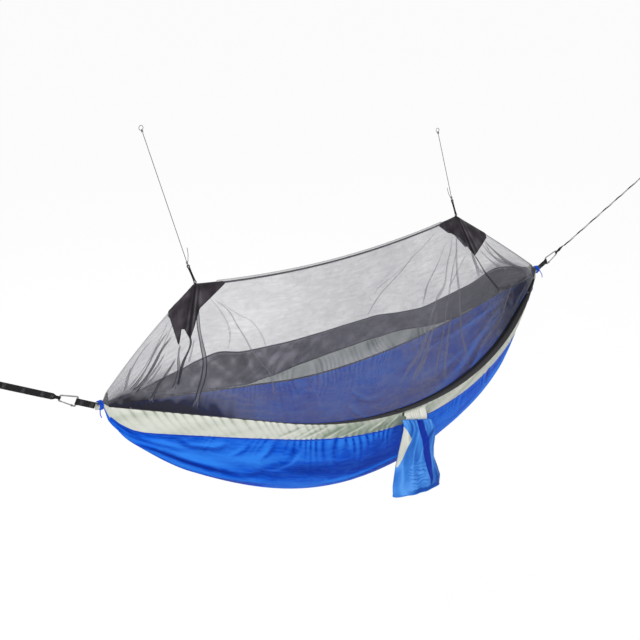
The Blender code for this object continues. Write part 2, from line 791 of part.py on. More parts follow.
def skin_bmesh(grid, lift, thick, outward, end_lift=None):
    """A thin cloth skin laid over a grid of points, a lift away from them, less at its two end rows."""
    rows, columns = len(grid), len(grid[0])
    laid, shift = [], []
    for i in range(rows):
        row, half = [], []
        for j in range(columns):
            along = grid[min(i + 1, rows - 1)][j] - grid[max(i - 1, 0)][j]
            after = (grid[i][min(j + 1, columns - 1)] - grid[i][min(j, columns - 2)]).normalized()
            before = (grid[i][max(j, 1)] - grid[i][max(j - 1, 0)]).normalized()
            across = (before + after).normalized()
            normal = along.cross(across).normalized() / max(across.dot(after), PATCH_MITRE_share)
            if normal.dot(outward(grid[i][j])) < 0:
                normal = -normal
            at_end = end_lift is not None and i in (0, rows - 1)
            row.append(grid[i][j] + normal * (end_lift if at_end else lift))
            half.append(normal * thick / 2)
        laid.append(row)
        shift.append(half)
    return slab_bmesh(laid, shift)


def make_patch(name, peak_x, reach, side, parent, places, layout):
    """A dark cloth patch folded over the ridge at a peak, on both sides of the net."""
    slope_reach, ridge_reach, drop = reach
    slope_end, ridge_end = peak_x + side * slope_reach, peak_x - side * ridge_reach
    low_x = peak_x + side * slope_reach * PATCH_LOW_SHIFT_share
    inside = [x for x in places if min(slope_end, ridge_end) < x < max(slope_end, ridge_end)]
    marks = sorted({slope_end, ridge_end, low_x, *[x for x in inside if abs(x - low_x) > PATCH_EDGE]})
    grid = []
    for x in marks:
        end = slope_end if (x - low_x) * side > 0 else ridge_end
        width = PATCH_EDGE + (drop - PATCH_EDGE) * (x - end) / (low_x - end)
        near_row = row_between(layout["near_net"][0], places, x)
        far_row = list(reversed(row_between(layout["far_net"][0], places, x)))
        steps = [width * k / PATCH_STEPS for k in range(1, PATCH_STEPS + 1)]
        near_side = along_line(near_row, steps)
        far_side = along_line(far_row, steps)
        grid.append([*reversed(near_side), near_row[0], far_row[0], *far_side])
    inner = Vector((peak_x, PEAK_SET_BACK, PEAK_HEIGHT - drop))
    lift = CLOTH / 2 + PATCH_LIFT + PATCH_CLOTH / 2
    sewn = CLOTH / 2 + PATCH_SEAM_LIFT + PATCH_CLOTH / 2
    add(name, skin_bmesh(grid, lift, PATCH_CLOTH, lambda p: p - inner, sewn), "dark_nylon", parent)


def make_gather(name, side, parent):
    """The bed's cloth drawn together at one end, in flutes, with a short tail past the winding."""
    start = HALF_LENGTH - END_INSET
    panels = section(side * start)
    loop = [p for points in panels.values() for p in points]
    high, low = max(p.z for p in loop), min(p.z for p in loop)
    front, back = min(p.y for p in loop), max(p.y for p in loop)
    wide = Vector((0, (front + back) / 2, (high + low) / 2))
    steps = [
        (start + SEAT_GAP, 0.0), (start + (GATHER_WAIST - start) * GATHER_MIDWAY_share, GATHER_DRAWN_share),
        (GATHER_WAIST, 1.0), (GATHER_WAIST + GATHER_GRIP, 1.0), (HALF_LENGTH + GATHER_TAIL, 1.0)]
    rings = []
    for k, (x, share) in enumerate(steps):
        flare = GATHER_FLARE_share if k == len(steps) - 1 else 1.0
        ring = []
        for i in range(FLUTE_POINTS):
            angle = 2 * math.pi * i / FLUTE_POINTS
            flute = 1 + GATHER_FLUTE_share * math.cos(GATHER_FLUTES * angle)
            y = (1 - share) * (back - front) / 2 + share * GATHER_RADIUS * flare
            z = (1 - share) * (high - low) / 2 + share * GATHER_RADIUS * flare
            centre = wide * (1 - share)
            y_out, z_out = y * flute * math.cos(angle), z * flute * math.sin(angle)
            ring.append(Vector((side * x, centre.y + y_out, centre.z + z_out)))
        rings.append(ring)
    add(name, rings_bmesh(rings), "sage_nylon", parent)


def make_whip(name, side, parent):
    """The blue cord wound round a gathered end, one unbroken winding."""
    radius = GATHER_RADIUS * (1 + GATHER_FLUTE_share) + WHIP_GAP + WHIP_CORD / 2
    first = GATHER_WAIST + WHIP_CORD / 2 + WHIP_GAP
    count = int(WHIP_TURNS * WINDING_POINTS)
    points = []
    for k in range(count + 1):
        turn = k / WINDING_POINTS
        angle = 2 * math.pi * turn
        along = first + WHIP_PITCH * turn
        points.append(Vector((side * along, radius * math.cos(angle), radius * math.sin(angle))))
    print(name, "least gap between turns", round((WHIP_PITCH - WHIP_CORD) * 1000, 2), "mm")
    add(name, tube_bmesh(points, WHIP_CORD / 2, TUBE_SIDES_LOW), "blue_cord", parent)


class Line:
    """One suspension line: outward along it, across its webbing, and through the webbing's thickness."""

    def __init__(self, side, angle, reach, strap, roll):
        self.side = side
        self.along = Vector((side * math.cos(angle), 0, math.sin(angle)))
        self.across = Vector((-side * math.sin(angle), 0, math.cos(angle)))
        self.through = Vector((0, 1, 0))
        self.roll = roll
        self.start = Vector((side * HALF_LENGTH, 0, 0))
        self.angle = angle
        self.base_bar = reach
        self.top_bar = reach + CARABINER_LENGTH
        self.end = self.top_bar + strap

    def at(self, along, across=0.0, through=0.0, roll=0.0):
        """A point given along, across and through the line, rolled about it."""
        turn = Matrix.Rotation(roll, 3, self.along)
        return self.start + self.along * along + turn @ (self.across * across + self.through * through)

    def anchor(self):
        """Where the tree strap meets its sewn end eye."""
        return self.at(self.end)


def webbing_bmesh(line, stops, ends=None):
    """Flat webbing through (along, half width, middle offset, half thickness, roll) stops."""
    rings = []
    for k, (along, half, offset, thick, roll) in enumerate(stops):
        ring = []
        low, high = offset - thick, offset + thick
        for across, through in ((-half, low), (half, low), (half, high), (-half, high)):
            point = line.at(along, across, through, roll)
            if ends and k in ends:
                plane, normal = ends[k]
                point = point + line.along * ((plane - point).dot(normal) / line.along.dot(normal))
            ring.append(point)
        rings.append(ring)
    return rings_bmesh(rings)


def split_bent(bm):
    """Cut every face that isn't flat into triangles, so that each reader sees the same skin."""
    bm.normal_update()
    bent = [f for f in bm.faces
            if max(abs((v.co - f.calc_center_median()).dot(f.normal)) for v in f.verts) > FLATNESS]
    bmesh.ops.triangulate(bm, faces=bent)
    return bm


def bar_eye(line, bar, half_width, body):
    """Webbing sewn round a carabiner's end bar: the body joined to a sleeve with the bar's hole in it."""
    hole = BAR_RADIUS + EYE_GAP
    sleeve = cylinder_bmesh(line.at(bar), line.across, hole + WEBBING_THICK, 2 * half_width, EYE_POINTS)
    cutter = cylinder_bmesh(line.at(bar), line.across, hole, 4 * half_width, EYE_POINTS)
    return joined(joined(body, [sleeve]), [cutter], "DIFFERENCE")


def make_end_loop(name, line, parent):
    """The black webbing loop between a gathered end and its carabiner."""
    half = WEBBING_WIDTH / 2
    start = (GATHER_TAIL + SEAT_GAP + half * math.sin(line.angle)) / math.cos(line.angle)
    bar = line.base_bar
    stops = [(start, half, 0, WEBBING_THICK, 0), (bar, half, 0, WEBBING_THICK, 0)]
    add(name, bar_eye(line, bar, half, webbing_bmesh(line, stops)), "webbing", parent)


def rounded(corners, radius, count):
    """A flat route through corners, each rounded to a radius, as points."""
    route = [corners[0]]
    for before, corner, after in zip(corners, corners[1:], corners[2:]):
        a, b = (before - corner).normalized(), (after - corner).normalized()
        half = a.angle(b) / 2
        reach = radius / math.tan(half)
        middle = corner + (a + b).normalized() * radius / math.sin(half)
        first, last = corner + a * reach - middle, corner + b * reach - middle
        sweep = first.angle(last)
        for k in range(count + 1):
            share = k / count
            way = (math.sin((1 - share) * sweep) * first + math.sin(share * sweep) * last) / math.sin(sweep)
            route.append(middle + way)
    route.append(corners[-1])
    return route


def tongue_bmesh(hinge, run, across, reach):
    """The gate's flat tongue: round about the pin, and drawn in to where it enters the gate's rod."""
    beside = run.cross(across)
    round_end = LUG_RADIUS * TONGUE_share
    neck = beside * GATE_RADIUS * NECK_share
    outline = [hinge + run * reach - neck, hinge + run * reach + neck]
    for k in range(TONGUE_POINTS + 2):
        angle = math.pi / 2 + math.pi * k / (TONGUE_POINTS + 1)
        outline.append(hinge + round_end * (math.cos(angle) * run + math.sin(angle) * beside))
    return rings_bmesh([[p + across * side * GATE_TONGUE / 2 for p in outline] for side in (-1, 1)])


def make_carabiner(side_name, line, parent):
    """A trapezoid carabiner: its bar frame with a forked lug, the sprung gate and the gate's pin."""
    base = [line.at(line.base_bar, s * CARABINER_BASE_HALF) for s in (-1, 1)]
    top = [line.at(line.top_bar, s * CARABINER_TOP_HALF) for s in (1, -1)]
    low_base, low_top = base[0], top[1]
    hinge = low_base.lerp(low_top, GATE_START_share)
    nose = low_base.lerp(low_top, GATE_END_share)
    run = (nose - hinge).normalized()
    route = rounded([hinge, low_base, base[1], top[0], low_top, nose], CARABINER_CORNER, CORNER_POINTS)
    across = line.through
    lug = cylinder_bmesh(hinge, across, LUG_RADIUS, LUG_WIDTH)
    slot = cylinder_bmesh(hinge, across, LUG_RADIUS * FORK_share, GATE_TONGUE + 2 * FIT_GAP)
    hole = cylinder_bmesh(hinge, across, GATE_PIN_RADIUS + FIT_GAP, 2 * LUG_WIDTH, PIN_SEGMENTS)
    frame = joined(joined(tube_bmesh(route, BAR_RADIUS), [lug]), [slot, hole], "DIFFERENCE")
    add(side_name + "_carabiner", frame, "grey_metal", parent)
    pivot = empty(side_name + "_gate_axis", hinge, parent)
    rod_start = hinge + run * (LUG_RADIUS * FORK_share + FIT_GAP)
    rod_end = nose - run * NOSE_GAP
    rod = tube_bmesh([rod_start, rod_start.lerp(rod_end, 0.5), rod_end], GATE_RADIUS)
    tongue = tongue_bmesh(hinge, run, across, (rod_start - hinge).length + GATE_RADIUS)
    bore = cylinder_bmesh(hinge, across, GATE_PIN_RADIUS + FIT_GAP, 2 * LUG_WIDTH, PIN_SEGMENTS)
    gate = joined(joined(rod, [tongue]), [bore], "DIFFERENCE")
    add(side_name + "_gate", gate, "grey_metal", pivot)
    pin = cylinder_bmesh(hinge, across, GATE_PIN_RADIUS, LUG_WIDTH, PIN_SEGMENTS)
    add(side_name + "_gate_pin", pin, "grey_metal", parent)


def make_strap(side_name, line, sway, parent):
    """A daisy-chain tree strap: its base webbing with a sewn eye, and the tacked row of loops on it."""
    half, thin = WEBBING_WIDTH / 2, WEBBING_THICK / 2
    tab = STRAP_TAB_WIDTH / 2
    bar = line.top_bar
    flat = bar + STRAP_FLARE
    rolled = bar + 2 * STRAP_FLARE
    base = [(bar, tab, 0, thin, 0), (bar + STRAP_FLARE / 2, tab, 0, thin, 0),
            (flat, half, 0, thin, line.roll * STRAP_TWIST_share), (rolled, half, 0, thin, line.roll),
            (line.end - STRAP_UNROLL, half, 0, thin, line.roll),
            (line.end - STRAP_UNROLL / 2, half, 0, thin, line.roll / 2), (line.end, half, 0, thin, 0)]
    plane = line.anchor() - sway * line.side * SEAT_GAP / 2
    body = split_bent(webbing_bmesh(line, base, {len(base) - 1: (plane, sway)}))
    add(side_name + "_tree_strap", bar_eye(line, bar, tab, body), "webbing", parent)
    close = -(WEBBING_THICK + SEAT_GAP)
    first, last = rolled + CHAIN_TACK, line.end - STRAP_UNROLL - CHAIN_TACK
    count = max(1, round((last - first) / CHAIN_PITCH))
    pitch = (last - first - CHAIN_TACK) / count
    stops = []
    for k in range(count):
        start = first + k * pitch
        stops.append((start, half, close, thin, line.roll))
        for i in range(CHAIN_POINTS):
            share = i / (CHAIN_POINTS - 1)
            along = start + CHAIN_TACK + (pitch - CHAIN_TACK) * share
            bulge = CHAIN_BULGE * math.sin(math.pi * share)
            if i < CHAIN_POINTS - 1:
                stops.append((along, half, close - bulge, thin, line.roll))
    stops.append((first + count * pitch, half, close, thin, line.roll))
    stops.append((last, half, close, thin, line.roll))
    add(side_name + "_strap_loops", webbing_bmesh(line, stops), "webbing", parent)


def make_anchor_eye(name, line, sway, parent):
    """The tree strap's end eye: a sewn throat and the open loop that goes round the tree's own end."""
    half = WEBBING_WIDTH / 2
    plane = line.anchor() + sway * line.side * SEAT_GAP / 2
    start = line.end
    throat = start + ANCHOR_TAB
    tab = webbing_bmesh(line, [(start, half, 0, WEBBING_THICK, 0), (throat, half, 0, WEBBING_THICK, 0)],
                        {0: (plane, sway)})
    wide = ANCHOR_EYE_WIDTH / 2
    middle = throat + ANCHOR_EYE_LENGTH - wide

    def loop(grow, sink):
        points = [(throat - sink, -grow)]
        for k in range(EYE_POINTS + 1):
            angle = -math.pi / 2 + math.pi * k / EYE_POINTS
            points.append((middle + (wide + grow) * math.cos(angle), (wide + grow) * math.sin(angle)))
        points.append((throat - sink, grow))
        return points

    def prism(outline, width):
        rings = [[line.at(along, side * width, through) for along, through in outline] for side in (-1, 1)]
        return rings_bmesh(rings)

    outer = prism(loop(WEBBING_THICK, WEBBING_THICK), half)
    inner = prism(loop(0, -WEBBING_THICK)[1:-1] + [(throat + WEBBING_THICK, 0)], 2 * half)
    add(name, joined(joined(tab, [outer]), [inner], "DIFFERENCE"), "webbing", parent)


def ring_points(centre, first, second, radius, count):
    """Points round a circle in the plane of two unit directions."""
    return [centre + radius * (math.cos(a) * first + math.sin(a) * second)
            for a in (2 * math.pi * k / count for k in range(count))]


def knot_bmesh(centre, direction, radius, length):
    """A tied knot as one pulled-tight lump."""
    bm = bmesh.new()
    bmesh.ops.create_uvsphere(bm, u_segments=KNOT_SEGMENTS, v_segments=KNOT_RINGS, radius=1.0)
    turn = Vector((0, 0, 1)).rotation_difference(direction).to_matrix().to_4x4()
    scale = Matrix.Diagonal((radius, radius, length / 2, 1.0))
    bmesh.ops.transform(bm, verts=bm.verts, matrix=Matrix.Translation(centre) @ turn @ scale)
    return bm


def make_net_cord(side_name, peak_x, length, lean, tail_turn, parent):
    """A peak's black loop, and the cord tied to it with its knot, loose tail and tied top loop."""
    rise = Vector((-math.sin(PEAK_LOOP_LEAN), 0, math.cos(PEAK_LOOP_LEAN)))
    beside = Vector((math.cos(PEAK_LOOP_LEAN), 0, math.sin(PEAK_LOOP_LEAN)))
    top_of_patch = CLOTH / 2 + PATCH_LIFT + PATCH_CLOTH
    radius = PEAK_LOOP_WIDTH / 2
    foot = Vector((peak_x, PEAK_SET_BACK, PEAK_HEIGHT + top_of_patch + PEAK_LOOP_CORD / 2 + SEAT_GAP))
    low, high = foot + rise * radius, foot + rise * (PEAK_LOOP_LENGTH - radius)
    loop = []
    for k in range(LOOP_POINTS + 1):
        angle = math.pi * k / LOOP_POINTS
        loop.append(high + radius * (math.cos(angle) * beside + math.sin(angle) * rise))
    for k in range(LOOP_POINTS + 1):
        angle = math.pi * (1 + k / LOOP_POINTS)
        loop.append(low + radius * (math.cos(angle) * beside + math.sin(angle) * rise))
    loop_skin = tube_bmesh(loop, PEAK_LOOP_CORD / 2, TUBE_SIDES_LOW, cyclic=True)
    add(side_name + "_peak_loop", loop_skin, "black_tape", parent)
    bar = high + rise * radius
    pivot = empty(side_name + "_cord_axis", bar, parent)
    up = Vector((-math.sin(lean), 0, math.cos(lean)))
    side = Vector((math.cos(lean), 0, math.sin(lean)))
    front = Vector((0, 1, 0))
    centre = bar + up * (TIE_RING - PEAK_LOOP_CORD / 2 - NET_CORD / 2 - TIE_GAP)
    tie_ring = ring_points(centre, up, front, TIE_RING, EYE_POINTS)
    tie = tube_bmesh(tie_ring, NET_CORD / 2, TUBE_SIDES_LOW, cyclic=True)
    knot_centre = centre + up * (TIE_RING + KNOT_LENGTH * KNOT_SEAT_share)
    knot = knot_bmesh(knot_centre, up, KNOT_RADIUS, KNOT_LENGTH)
    tail_way = Matrix.Rotation(tail_turn, 3, "Y") @ up
    aside = side * math.copysign(1, tail_turn)
    tail_start = knot_centre + aside * KNOT_RADIUS * TAIL_EXIT_share
    tail = tube_bmesh([tail_start, tail_start + tail_way * TAIL_LENGTH * TAIL_BEND_share + aside * TAIL_CORD,
                       tail_start + tail_way * TAIL_LENGTH], TAIL_CORD / 2, TUBE_SIDES_LOW)
    add(side_name + "_cord_knot", joined(tie, [knot, tail]), "grey_cord", pivot)
    start = knot_centre + up * (KNOT_LENGTH / 2 + SEAT_GAP)
    end = start + up * length
    route = [start.lerp(end, k / CORD_STEPS) for k in range(CORD_STEPS + 1)]
    add(side_name + "_net_cord", tube_bmesh(route, NET_CORD / 2, TUBE_SIDES_LOW), "grey_cord", pivot)
    knot_top = end + up * (SEAT_GAP + KNOT_LENGTH / 2)
    ring_centre = knot_top + up * (TOP_LOOP_RADIUS + KNOT_LENGTH * KNOT_SEAT_share)
    ring = ring_points(ring_centre, up, side, TOP_LOOP_RADIUS, EYE_POINTS)
    top_ring = tube_bmesh(ring, NET_CORD / 2, TUBE_SIDES_LOW, cyclic=True)
    top_knot = knot_bmesh(knot_top, up, KNOT_RADIUS, KNOT_LENGTH)
    add(side_name + "_cord_top_loop", joined(top_ring, [top_knot]), "grey_cord", pivot)


def sack_top():
    """The middle of the sack's sewn top edge."""
    near = NEAR.at(SACK_X)
    stand_off = CLOTH / 2 + 2 * SEAT_GAP + TAB_THICK + sack_depth(TAB_OVERLAP / SACK_HEIGHT) + SACK_STAND_OFF
    return near + Vector((0, -stand_off, -SACK_TOP_DROP))


def sack_half(share):
    """Half the sack's width at a share of its height down."""
    return SACK_TOP_HALF + (SACK_LOW_HALF - SACK_TOP_HALF) * share ** SACK_FLARE_POWER_share


def sack_depth(share):
    """Half the sack's depth at a share of its height down."""
    return SACK_TOP_DEPTH + (SACK_MOUTH_DEPTH - SACK_TOP_DEPTH) * share ** SACK_FLARE_POWER_share


def sack_point(share, angle, grow):
    """A point on the sack's side, at a share of its height down and an angle round it."""
    half, depth = sack_half(share), sack_depth(share)
    x, y = (half + grow) * math.cos(angle), (depth + grow) * math.sin(angle)
    return sack_top() + Vector((x, y, x * math.tan(SACK_TILT) - SACK_HEIGHT * share))


def make_sack(parent):
    """The stuff sack, open at its mouth below, its two trims and the two tabs it is sewn on with."""
    axis = empty("sack_axis", sack_top(), parent)
    shares = [k / SACK_RINGS for k in range(SACK_RINGS + 1)]
    turns = [2 * math.pi * k / SACK_POINTS for k in range(SACK_POINTS)]
    rings = [[sack_point(share, a, 0) for a in turns] for share in shares]
    inside = [shares[-1], *reversed(shares[1:-1])]
    rings += [[sack_point(share, a, -SACK_WALL) for a in turns] for share in inside]
    add("stuff_sack", rings_bmesh(rings), "sack_blue", axis)
    grid = []
    for share in shares:
        half = sack_half(share)
        left = SACK_STRIPE_END_share * SACK_LOW_HALF * share
        wide = SACK_STRIPE_TOP + (SACK_STRIPE_LOW - SACK_STRIPE_TOP) * share
        spots = [left, left + wide / 2, left + wide]
        grid.append([sack_point(share, -math.acos(min(spot / half, 1)), 0) for spot in spots])
    lift = SEAT_GAP + SACK_TRIM_LIFT + SACK_TRIM / 2
    add("sack_stripe", skin_bmesh(grid, lift, SACK_TRIM, lambda p: Vector((0, -1, 0))), "stripe_blue", axis)
    grid = []
    for share in shares[1:SACK_EDGE_RINGS]:
        edge = [math.pi + step * 2 * math.pi / SACK_POINTS for step in SACK_EDGE_STEPS]
        grid.append([sack_point(share, angle, 0) for angle in edge])
    side_trim = skin_bmesh(grid, lift, SACK_TRIM, lambda p: Vector((-1, -1, 0)))
    add("sack_side_trim", side_trim, "sage_nylon", axis)
    make_sack_tab("sack_tab_left", SACK_X - SACK_TAB_SPREAD, parent)
    make_sack_tab("sack_tab_right", SACK_X + SACK_TAB_SPREAD, parent)


def make_sack_tab(name, x, parent):
    """A cloth tab from the near band to the back of the sack's top."""
    rings = []
    for place in (x - TAB_WIDTH / 2, x + TAB_WIDTH / 2):
        band = section(place)["near_side_band"]
        down = (band[1] - band[0]).normalized()
        out = Vector((0, down.z, -down.y)).normalized()
        away = CLOTH / 2 + SEAT_GAP + TAB_THICK / 2
        top = sack_top() + Vector((place - SACK_X, 0, (place - SACK_X) * math.tan(SACK_TILT)))
        inner_edge = (SACK_TAB_SPREAD - TAB_WIDTH / 2) / SACK_TOP_HALF
        depth = sack_depth(TAB_OVERLAP / SACK_HEIGHT) * math.sqrt(1 - inner_edge ** 2)
        back = top.y + depth + SEAT_GAP + TAB_THICK / 2
        path = [band[0] + down * TAB_START + out * away, band[0] + down * TAB_FOLLOW + out * away,
                Vector((place, back, top.z)), Vector((place, back, top.z - TAB_OVERLAP))]
        sides = []
        for k, point in enumerate(path):
            way = (path[min(k + 1, len(path) - 1)] - path[max(k - 1, 0)]).normalized()
            flat = Vector((0, way.z, -way.y)).normalized() * TAB_THICK / 2
            sides.append((point + flat, point - flat))
        rings.append([a for a, b in sides] + [b for a, b in reversed(sides)])
    add(name, rings_bmesh(rings), "sage_nylon", parent)


def main():
    """Build the whole tent."""
    clear_scene()
    left = Line(-1, LEFT_LINE_ANGLE, LEFT_LOOP_REACH, LEFT_STRAP_LENGTH, 0.0)
    right = Line(1, RIGHT_LINE_ANGLE, RIGHT_LOOP_REACH, RIGHT_STRAP_LENGTH, STRAP_ROLL_RIGHT)
    sway = (right.anchor() - left.anchor()).normalized()
    frame = empty("hammock_tent", (0, 0, 0))
    frame.location = -left.anchor()
    places, layout = make_cloth(frame)
    make_ridge_tape(frame)
    make_coil(frame)
    make_slider(frame)
    left_reach = (LEFT_PATCH_SLOPE, LEFT_PATCH_RIDGE, LEFT_PATCH_DROP)
    right_reach = (RIGHT_PATCH_SLOPE, RIGHT_PATCH_RIDGE, RIGHT_PATCH_DROP)
    make_patch("left_peak_patch", -LEFT_PEAK_X, left_reach, -1, frame, places, layout)
    make_patch("right_peak_patch", RIGHT_PEAK_X, right_reach, 1, frame, places, layout)
    for name, line in (("left", left), ("right", right)):
        make_gather(name + "_gather", line.side, frame)
        make_whip(name + "_gather_cord", line.side, frame)
        make_end_loop(name + "_end_loop", line, frame)
        make_carabiner(name, line, frame)
        make_strap(name, line, sway, frame)
        make_anchor_eye(name + "_anchor_eye", line, sway, frame)
    make_net_cord("left", -LEFT_PEAK_X, LEFT_CORD_LENGTH, LEFT_CORD_LEAN, LEFT_TAIL_SPREAD, frame)
    make_net_cord("right", RIGHT_PEAK_X, RIGHT_CORD_LENGTH, RIGHT_CORD_LEAN, RIGHT_TAIL_SPREAD, frame)
    make_sack(frame)


main()
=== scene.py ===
"""Looks of the hammock tent: nylon, net, webbing, cords and metal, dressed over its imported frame.

The cloth is laid out about the middle of the hammock, +X to the right end and the zip at -Y, and is then
moved by TentShape.origin to where the frame has it.
"""

import logging
import math
from dataclasses import dataclass, field
from enum import Enum
from itertools import product
from typing import Callable, Optional, Sequence

import bmesh
import bpy
import numpy as np
from mathutils import Matrix, Vector, noise


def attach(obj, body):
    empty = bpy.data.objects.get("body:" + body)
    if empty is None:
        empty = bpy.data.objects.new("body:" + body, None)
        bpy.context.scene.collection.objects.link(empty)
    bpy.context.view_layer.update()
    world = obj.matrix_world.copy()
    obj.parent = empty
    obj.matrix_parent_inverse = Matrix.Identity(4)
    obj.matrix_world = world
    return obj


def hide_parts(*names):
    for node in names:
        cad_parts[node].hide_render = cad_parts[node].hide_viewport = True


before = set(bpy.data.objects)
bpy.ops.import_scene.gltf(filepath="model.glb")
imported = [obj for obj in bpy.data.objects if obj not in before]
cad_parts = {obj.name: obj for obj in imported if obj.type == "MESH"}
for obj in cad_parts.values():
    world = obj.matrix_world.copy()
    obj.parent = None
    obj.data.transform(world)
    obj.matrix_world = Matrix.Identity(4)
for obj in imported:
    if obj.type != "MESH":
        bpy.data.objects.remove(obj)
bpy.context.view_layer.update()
LOG = logging.getLogger("hammock_tent")

Array = np.ndarray
Colour = tuple[float, float, float]
Marks = tuple[tuple[float, ...], ...]
Piece = bpy.types.Object
Socket = bpy.types.NodeSocket

HALF_LENGTH = 1.25
BACK = np.array([0.0, 1.0, 0.0])
STRAND_DEPTH = 0.05
THICK_THREAD_SHARE = 0.09


class Body(Enum):
    """The frame's bodies that pieces ride on."""

    ANCHORS = "anchors"
    HAMMOCK = "hammock"
    SACK = "stuff_sack"
    LEFT_CORD = "left_cord"
    RIGHT_CORD = "right_cord"


class Weave(Enum):
    """The constructions that a finish can have."""

    RIPSTOP = "ripstop"
    NET = "net"
    WEBBING = "webbing"
    BRAID = "braid"
    METAL = "metal"
    MOULDED = "moulded"


class Panel(Enum):
    """The panels round the hammock's section, from the near edge down: CAD node and rows of faces."""

    NEAR_BAND = ("near_side_band", 16)
    BED = ("bed_panel", 108)
    FAR_BAND = ("far_side_band", 12)
    NET_BAND = ("far_net_band", 16)
    FAR_NET = ("far_net", 84)
    RIDGE_SEAM = ("ridge_seam", 2)
    NEAR_NET = ("near_net", 132)
    TAPE_INNER = ("zip_tape_inner", 5)
    TAPE_OUTER = ("zip_tape_outer", 5)

    def __init__(self, node: str, rows: int) -> None:
        """Hold the panel's CAD node and its rows."""
        self.node, self.rows = node, rows

    @property
    def start(self) -> int:
        """Return the loop column at which the panel starts."""
        order = list(Panel)
        return sum(panel.rows for panel in order[:order.index(self)])

    def columns(self) -> list[int]:
        """Return the loop columns from the panel's first edge to its last, going round at the loop's end."""
        return [(self.start + k) % sum(panel.rows for panel in Panel) for k in range(self.rows + 1)]


def smooth_step(low: float, high: float, value: Array) -> Array:
    """Return a smooth rise over numbers.

    Args:
        low: where the rise leaves 0.
        high: where it reaches 1.
        value: the numbers to look up.

    Returns:
        The rise at each number.
    """
    share = np.clip((value - low) / (high - low), 0.0, 1.0)
    return share * share * (3.0 - 2.0 * share)


def unit(rows: Array) -> Array:
    """Return vectors brought to length one."""
    return rows / np.maximum(np.linalg.norm(rows, axis=-1, keepdims=True), 1e-12)


def travelled(path: Array) -> Array:
    """Return how far along a path each of its points lies."""
    return np.concatenate([[0.0], np.cumsum(np.linalg.norm(np.diff(path, axis=0), axis=1))])


def cusps(phase: Array) -> Array:
    """Return a wave of broad crests and sharp valleys, from -1 to 1, one to each half turn."""
    return 2.0 * np.abs(np.sin(phase)) ** 0.7 - 1.0


def bell(offset: Array, width: float) -> Array:
    """Return a smooth bump about an offset of 0."""
    return np.exp(-((offset / width) ** 2))


def creases(values: Array) -> Array:
    """Return smooth noise folded into sharp crests, from 0 to 1."""
    return (1.0 - np.minimum(np.abs(values) * 2.6, 1.0)) ** 2


def speckle(first: Array | float, second: Array | float, seed: float) -> Array:
    """Return smooth noise over a pair of coordinate grids.

    Args:
        first: the first coordinate, one unit to a noise cell.
        second: the second coordinate.
        seed: the third coordinate, which picks the pattern.

    Returns:
        Noise from about -1 to 1.
    """
    first, second = np.broadcast_arrays(first, second)
    values = [noise.noise((a, b, seed)) for a, b in zip(first.ravel().tolist(), second.ravel().tolist())]
    return np.array(values).reshape(first.shape)


def eased_table(x: Array, stops: Marks, blur: float = 0.045) -> Array:
    """Return a table's value at places, with its corners rounded off.

    Args:
        x: the places.
        stops: pairs of place and value.
        blur: how far the rounding reaches.

    Returns:
        A value for each place.
    """
    places, values = zip(*stops)
    steps = np.linspace(-1.5, 1.5, 13)
    weights = np.exp(-steps ** 2)
    return np.interp(x[:, None] + steps * blur, places, values) @ (weights / weights.sum())


def straight_rows(start: Array, stop: Array, rows: int, bow: Optional[Array] = None) -> Array:
    """Return points on lines between two rows of points, the last ones left out.

    Args:
        start: one point for each place.
        stop: one point for each place.
        rows: how many steps each line has.
        bow: how far each line's middle is drawn towards +Y, or None.

    Returns:
        An array of places by steps by three.
    """
    share = np.arange(rows) / rows
    line = start[:, None] * (1.0 - share[:, None]) + stop[:, None] * share[:, None]
    if bow is not None:
        line[:, :, 1] += bow[:, None] * np.sin(math.pi * np.arange(rows) / rows)
    return line


def smooth_path(corners: Sequence[Sequence[float]], count: int) -> Array:
    """Return evenly spaced points on a smooth curve.

    Args:
        corners: the points that it passes through.
        count: how many points to return.

    Returns:
        The points, one to a row.
    """
    nodes = np.array(corners, dtype=float)
    ghost = np.concatenate([[2.0 * nodes[0] - nodes[1]], nodes, [2.0 * nodes[-1] - nodes[-2]]])
    dense = []
    for a, b, c, d in zip(ghost, ghost[1:], ghost[2:], ghost[3:]):
        for t in np.linspace(0.0, 1.0, 24, endpoint=False):
            bend = 2 * b + (c - a) * t + (2 * a - 5 * b + 4 * c - d) * t ** 2
            dense.append(0.5 * (bend + (3 * b - a - 3 * c + d) * t ** 3))
    dense = np.array(dense + [nodes[-1]])
    run = travelled(dense)
    wanted = np.linspace(0.0, run[-1], count)
    return np.stack([np.interp(wanted, run, dense[:, axis]) for axis in range(3)], axis=-1)


